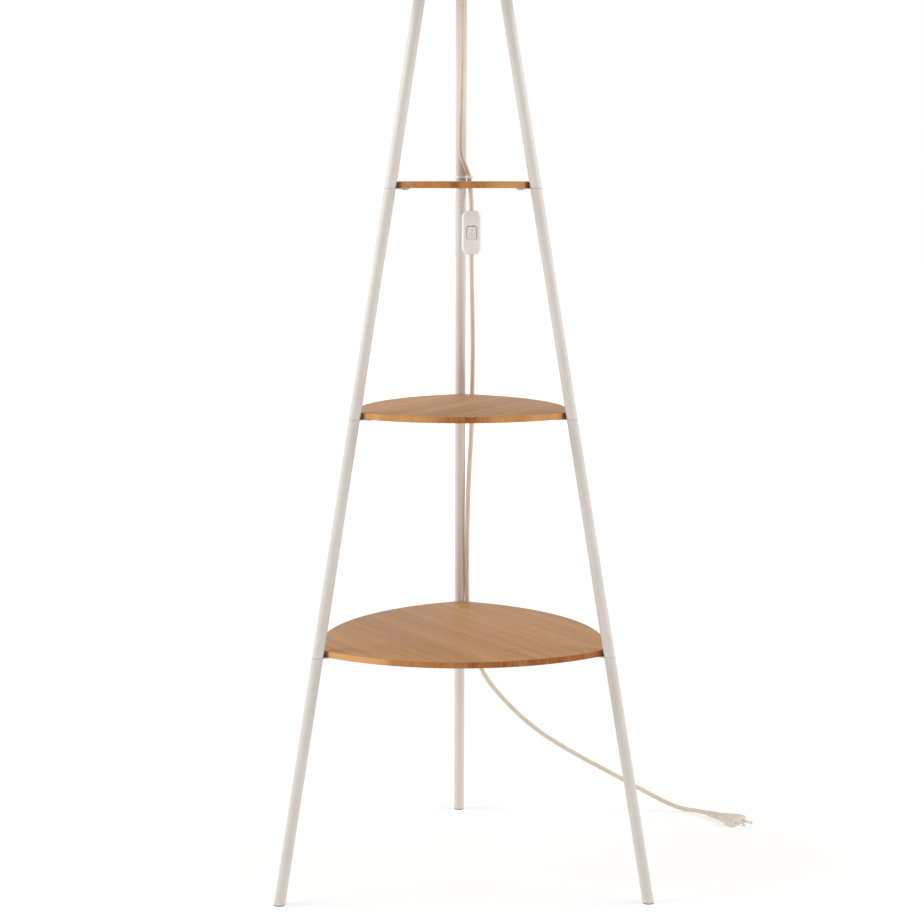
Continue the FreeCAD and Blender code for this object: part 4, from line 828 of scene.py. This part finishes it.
def on_switch(places, depth):
    """Flat places, at a depth in front of the switch's middle plane."""
    return [(SWITCH_CENTRE[0] + across, SWITCH_CENTRE[1] - depth, SWITCH_CENTRE[2] + along)
            for across, along in places]


def switch_loop(inset, depth):
    """The softened octagon, drawn in by the inset, at a depth."""
    wide = SWITCH_HALF_WIDTH - inset
    tall = SWITCH_HALF_LENGTH - inset
    across = wide - (CORNER_CUT_ACROSS - inset * 0.5)
    along = tall - (CORNER_CUT_ALONG - inset * 0.5)
    corners = [(across, -tall), (wide, -along), (wide, along), (across, tall),
               (-across, tall), (-wide, along), (-wide, -along), (-across, -tall)]
    return on_switch(rounded_outline(corners, CORNER_SOFTENING, 9), depth)


def opening_loop(grow, depth):
    """The rocker's opening, grown on every side, at a depth. It has as many points as the octagon."""
    wide = OPENING_HALF_WIDTH + grow
    tall = OPENING_HALF_LENGTH + grow
    corners = [(wide, -tall), (wide, tall), (-wide, tall), (-wide, -tall)]
    return on_switch(rounded_outline(corners, OPENING_CORNER + grow, 18), depth)


def small_round(across, along, radius, depth):
    """A small circle on the switch, for a hole or a dimple."""
    return on_switch([point[:2] for point in round_loop(radius, 0.0, 32, (across, along))], depth)


switch_front = loft("switch_front", [
    switch_loop(0.15, 0.0), switch_loop(0.0, 0.2), switch_loop(0.0, 4.6), switch_loop(0.12, 5.1),
    switch_loop(0.45, 5.6), switch_loop(1.9, 7.4), switch_loop(2.4, 7.85), switch_loop(3.0, 8.0),
    opening_loop(0.9, 8.0), opening_loop(0.7, 7.75), opening_loop(0.35, 7.7), opening_loop(0.1, 7.6),
    opening_loop(0.0, 7.4), opening_loop(0.0, 3.0), switch_loop(2.0, 3.0), switch_loop(2.0, 0.0),
], closed=True)
switch_back = loft("switch_back", [
    switch_loop(2.0, -6.0), switch_loop(2.0, 0.0), switch_loop(0.15, 0.0), switch_loop(0.0, -0.2),
    switch_loop(0.0, -6.6), switch_loop(0.12, -7.2), switch_loop(0.5, -7.75), switch_loop(1.2, -8.0)])
SCREW_PLACE = (9.9, 23.5)
SCREW_HOLE_RADIUS = 2.15
for sign in (1.0, -1.0):
    hole = [small_round(sign * SCREW_PLACE[0], sign * SCREW_PLACE[1], SCREW_HOLE_RADIUS, depth)
            for depth in (-5.0, -9.0)]
    combine(switch_back, loft("screw_hole", hole), "DIFFERENCE")
DIMPLE_PLACE = (5.2, -18.6)
dimple = [small_round(*DIMPLE_PLACE, radius, depth) for radius, depth in ((1.45, 7.7), (1.75, 8.2))]
combine(switch_front, loft("front_dimple", dimple), "DIFFERENCE")
switch_plastic = plastic("switch_plastic", (0.87, 0.872, 0.875), 0.34)
for piece, node in ((switch_front, "switch_front_housing"), (switch_back, "switch_back_housing")):
    piece.data.materials.clear()
    piece.data.materials.append(switch_plastic)
    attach(piece, "lamp")
    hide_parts(node)
dress("switch_terminals", brass)


# ---- rocker
# One slightly warmer moulding, with its lower end pressed in: two faces that rise from the middle to
# the ends, rounded corners and a heel behind. Two marks stand on it in low relief, a slim rounded
# outline above and a ring below.

PIVOT_DEPTH = 5.5
PIVOT = Vector((SWITCH_CENTRE[0], SWITCH_CENTRE[1] - PIVOT_DEPTH, SWITCH_CENTRE[2]))
ROCKER_TILT = math.radians(7.0)
ROCKER_HALF_WIDTH = 6.8
ROCKER_HALF_LENGTH = 9.6
ROCKER_CORNER = 3.2
ROCKER_BACK = 0.9
HEEL_DEPTH = 1.9
HEEL_HALF_LENGTH = 4.0
FACE_MIDDLE = 3.4
FACE_RISE = 1.3


def at_pivot(across, forward, along):
    """A point on the rocker, measured from its pivot, at the rest tilt."""
    y = -forward
    return (PIVOT.x + across, PIVOT.y + y * math.cos(ROCKER_TILT) - along * math.sin(ROCKER_TILT),
            PIVOT.z + y * math.sin(ROCKER_TILT) + along * math.cos(ROCKER_TILT))


def rocker_face(along):
    """How far the front stands before the pivot, at a place along the rocker."""
    return FACE_MIDDLE + FACE_RISE * math.sqrt(along * along + 0.16) / ROCKER_HALF_LENGTH


def rocker_section(along):
    """The section across the rocker: narrower towards its ends, and deeper at the heel."""
    past_corner = max(0.0, abs(along) - (ROCKER_HALF_LENGTH - ROCKER_CORNER))
    drawn_in = ROCKER_CORNER - math.sqrt(max(0.0, ROCKER_CORNER ** 2 - past_corner ** 2))
    wide = ROCKER_HALF_WIDTH - drawn_in
    front = rocker_face(along) - 0.35 * (past_corner / ROCKER_CORNER) ** 4
    back = ROCKER_BACK - HEEL_DEPTH * min(1.0, max(0.0, HEEL_HALF_LENGTH - abs(along)))
    corners = [(wide, back), (wide, front), (-wide, front), (-wide, back)]
    return [at_pivot(across, forward, along) for across, forward in rounded_outline(corners, 0.45, 6)]


half_places = [ROCKER_HALF_LENGTH, 9.57, 9.5, 9.35, 9.15, 8.9, 8.55, 8.15, 7.7, 7.1, 6.4, 5.6,
               HEEL_HALF_LENGTH, 3.0, 2.0, 1.2, 0.6, 0.25]
rocker_places = [-along for along in half_places] + [0.0] + half_places[::-1]
rocker = loft("rocker_cap", [rocker_section(along) for along in rocker_places], sharp_degrees=55.0)
rocker_plastic = plastic("rocker_plastic", (0.84, 0.825, 0.80), 0.3)
rocker.data.materials.append(rocker_plastic)


MARK_HALF_WIDTH = 0.3
MARK_HEIGHT = 0.14
MARK_STEPS = 8
MARK_PLACE = 3.1


def raised_mark(name, outline, middle):
    """A closed ridge of rounded section that follows an outline on the rocker's face."""
    loops = []
    befores = outline[-1:] + outline[:-1]
    afters = outline[1:] + outline[:1]
    for before, (across, along), after in zip(befores, outline, afters):
        run = Vector((after[0] - before[0], after[1] - before[1])).normalized()
        side = Vector((-run.y, run.x)) * MARK_HALF_WIDTH
        loop = []
        for step in range(MARK_STEPS):
            angle = math.tau * step / MARK_STEPS
            place = along + middle + side.y * math.cos(angle)
            loop.append(at_pivot(across + side.x * math.cos(angle),
                                 rocker_face(place) + MARK_HEIGHT * math.sin(angle), place))
        loops.append(loop)
    return loft(name, loops, closed=True)


ring_turns = [math.tau * step / 48 for step in range(48)]
ring_outline = [(2.6 * math.cos(turn), 2.1 * math.sin(turn)) for turn in ring_turns]
stroke_outline = rounded_outline([(1.3, -2.0), (1.3, 2.0), (-1.3, 2.0), (-1.3, -2.0)], 1.25, 10)
mark_plastic = plastic("rocker_mark", (0.60, 0.58, 0.56), 0.4)
for name, outline, middle in (("rocker_ring", ring_outline, -MARK_PLACE),
                              ("rocker_stroke", stroke_outline, MARK_PLACE)):
    mark = raised_mark(name, outline, middle)
    mark.data.materials.append(mark_plastic)
    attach(mark, "rocker")
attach(rocker, "rocker")
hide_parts("switch_rocker")


# ---- plug
# A flat two-pin mains plug, moulded on the cord in cream PVC: a narrow back that widens to the face,
# a tapered strain relief with flex grooves, and two nickel-plated pins sleeved for half their length.

CORD_IN_RELIEF = 18.0
PLUG_WAY = (Vector(LOWER_ROUTE[-1]) - Vector(LOWER_ROUTE[-2])).normalized()
PLUG_SIDE = Vector((-PLUG_WAY.y, PLUG_WAY.x, 0.0))
PLUG_BACK = Vector(LOWER_ROUTE[-1]) + PLUG_WAY * CORD_IN_RELIEF


def at_plug(along, across, up):
    """A point measured from the middle of the plug's back, where the strain relief joins it."""
    return tuple(PLUG_BACK + PLUG_WAY * along + PLUG_SIDE * across + Vector((0.0, 0.0, up)))


def plug_section(along, wide, thick, roundness):
    """A rounded rectangle across the plug, from its half width and half thickness."""
    corners = [(wide, -thick), (wide, thick), (-wide, thick), (-wide, -thick)]
    return [at_plug(along, across, up) for across, up in rounded_outline(corners, roundness, 10)]


def rod_section(along, radius, across=0.0):
    """A circle across the plug, as on the relief, a pin or a sleeve."""
    turns = [math.tau * step / 40 for step in range(40)]
    return [at_plug(along, across + radius * math.cos(turn), radius * math.sin(turn)) for turn in turns]


plug_plastic = plastic("plug_plastic", (0.74, 0.675, 0.585), 0.46, 900.0, 0.00006)
plug = loft("plug_moulding", [plug_section(*row) for row in (
    (0.0, 6.3, 5.9, 4.6), (0.4, 6.9, 6.4, 5.2), (2.0, 7.1, 6.7, 5.4), (6.0, 7.7, 6.8, 5.2),
    (9.0, 8.9, 6.84, 4.8), (13.0, 11.4, 6.84, 4.4), (17.0, 14.2, 6.84, 4.0), (20.5, 16.2, 6.84, 3.6),
    (23.5, 17.2, 6.84, 3.3), (27.0, 17.6, 6.84, 3.1), (33.5, 17.6, 6.84, 3.0), (35.0, 17.4, 6.7, 2.9),
    (35.7, 16.9, 6.2, 2.6), (36.0, 16.1, 5.4, 2.2))])
RELIEF_LENGTH = 28.0
RELIEF_STEP = 0.5
GROOVE_PITCH = 4.0
GROOVE_DEPTH = 0.9
relief_loops = [rod_section(-RELIEF_LENGTH, 4.1)]
for index in range(int(RELIEF_LENGTH / RELIEF_STEP) + 1):
    past_tail = RELIEF_STEP * index
    radius = 4.7 + 1.5 * past_tail / RELIEF_LENGTH
    groove = 0.5 + 0.5 * math.cos(math.tau * (past_tail - 2.0) / GROOVE_PITCH)
    if 3.5 < past_tail < 24.5:
        radius -= GROOVE_DEPTH * groove ** 3
    relief_loops.append(rod_section(past_tail - RELIEF_LENGTH, radius))
relief = loft("plug_relief", relief_loops, sharp_degrees=60.0)
pin_metal = plated_metal("plug_pin_nickel", (0.72, 0.71, 0.68), 0.2, 0.00001)
PIN_ACROSS = 9.3
pins = []
sleeves = []
for name, across in (("left", PIN_ACROSS), ("right", -PIN_ACROSS)):
    pins.append(loft("plug_pin_metal_" + name, [rod_section(along, radius, across) for along, radius in (
        (30.0, 1.8), (52.8, 1.95), (53.9, 1.9), (54.6, 1.55), (54.9, 1.1), (55.0, 0.5))]))
    sleeves.append(loft("plug_pin_sleeve_" + name, [rod_section(along, radius, across) for along, radius in (
        (35.0, 2.0), (45.6, 2.0), (45.9, 1.9), (46.0, 1.75))]))
for piece, material, slot, node in (
        (plug, plug_plastic, "plug_plastic", "plug_body"),
        (relief, plug_plastic, "plug_plastic", "plug_strain_relief"),
        (pins[0], pin_metal, "pin_metal", "plug_pins"), (pins[1], pin_metal, "pin_metal", None),
        (sleeves[0], plug_plastic, "plug_plastic", None), (sleeves[1], plug_plastic, "plug_plastic", None)):
    piece.data.materials.append(material)
    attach(piece, "lamp")
    if node:
        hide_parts(node)


# ---- floor and light
# A plain white floor that glows more away from the lamp, so that it runs into the even white surround,
# and one square light panel at each side, the left one a little stronger. Places and sizes are in metres.

floor_mesh = bpy.data.meshes.new("floor")
floor_mesh.from_pydata([(-14.0, -6.0, 0.0), (14.0, -6.0, 0.0), (14.0, 22.0, 0.0), (-14.0, 22.0, 0.0)], [],
                       [(0, 1, 2, 3)])
floor = bpy.data.objects.new("floor", floor_mesh)
bpy.context.scene.collection.objects.link(floor)
floor_paint, floor_tree, floor_shader, floor_add, floor_place = node_material("floor_paint")
floor_shader.inputs["Base Color"].default_value = (0.55, 0.55, 0.55, 1.0)
floor_shader.inputs["Emission Color"].default_value = (1.0, 1.0, 1.0, 1.0)
from_lamp = floor_add("ShaderNodeVectorMath", {0: floor_place}, operation="LENGTH").outputs["Value"]
glow = floor_add("ShaderNodeMapRange", {"Value": from_lamp, "From Min": 1.2, "From Max": 4.5, "To Min": 0.5,
                                        "To Max": 0.8}).outputs["Result"]
floor_tree.links.new(glow, floor_shader.inputs["Emission Strength"])
floor_shader.inputs["Roughness"].default_value = 0.7
floor_shader.inputs["Specular IOR Level"].default_value = 0.2
floor.data.materials.append(floor_paint)

surround = bpy.data.worlds.new("surround")
surround.use_nodes = True
surround_nodes = surround.node_tree.nodes
surround_nodes["Background"].inputs["Color"].default_value = (1.0, 1.0, 1.0, 1.0)
seen = surround_nodes.new("ShaderNodeLightPath")
white = surround_nodes.new("ShaderNodeMapRange")
white.inputs["To Min"].default_value = 0.65
surround.node_tree.links.new(seen.outputs["Is Camera Ray"], white.inputs["Value"])
surround.node_tree.links.new(white.outputs["Result"], surround_nodes["Background"].inputs["Strength"])
bpy.context.scene.world = surround
bpy.context.scene.view_settings.view_transform = "Standard"

PANEL_SIZE = 1.8
PANEL_AIM = Vector((0.0, 0.0, 0.7))
for name, place, power in (("left_panel", (-2.6, -0.25, 2.0), 40.0),
                           ("right_panel", (2.6, -0.25, 2.0), 32.0)):
    panel = bpy.data.objects.new(name, bpy.data.lights.new(name, "AREA"))
    panel.data.shape = "SQUARE"
    panel.data.size = PANEL_SIZE
    panel.data.energy = power
    panel.location = place
    panel.rotation_euler = (PANEL_AIM - Vector(place)).to_track_quat("-Z", "Y").to_euler()
    bpy.context.scene.collection.objects.link(panel)
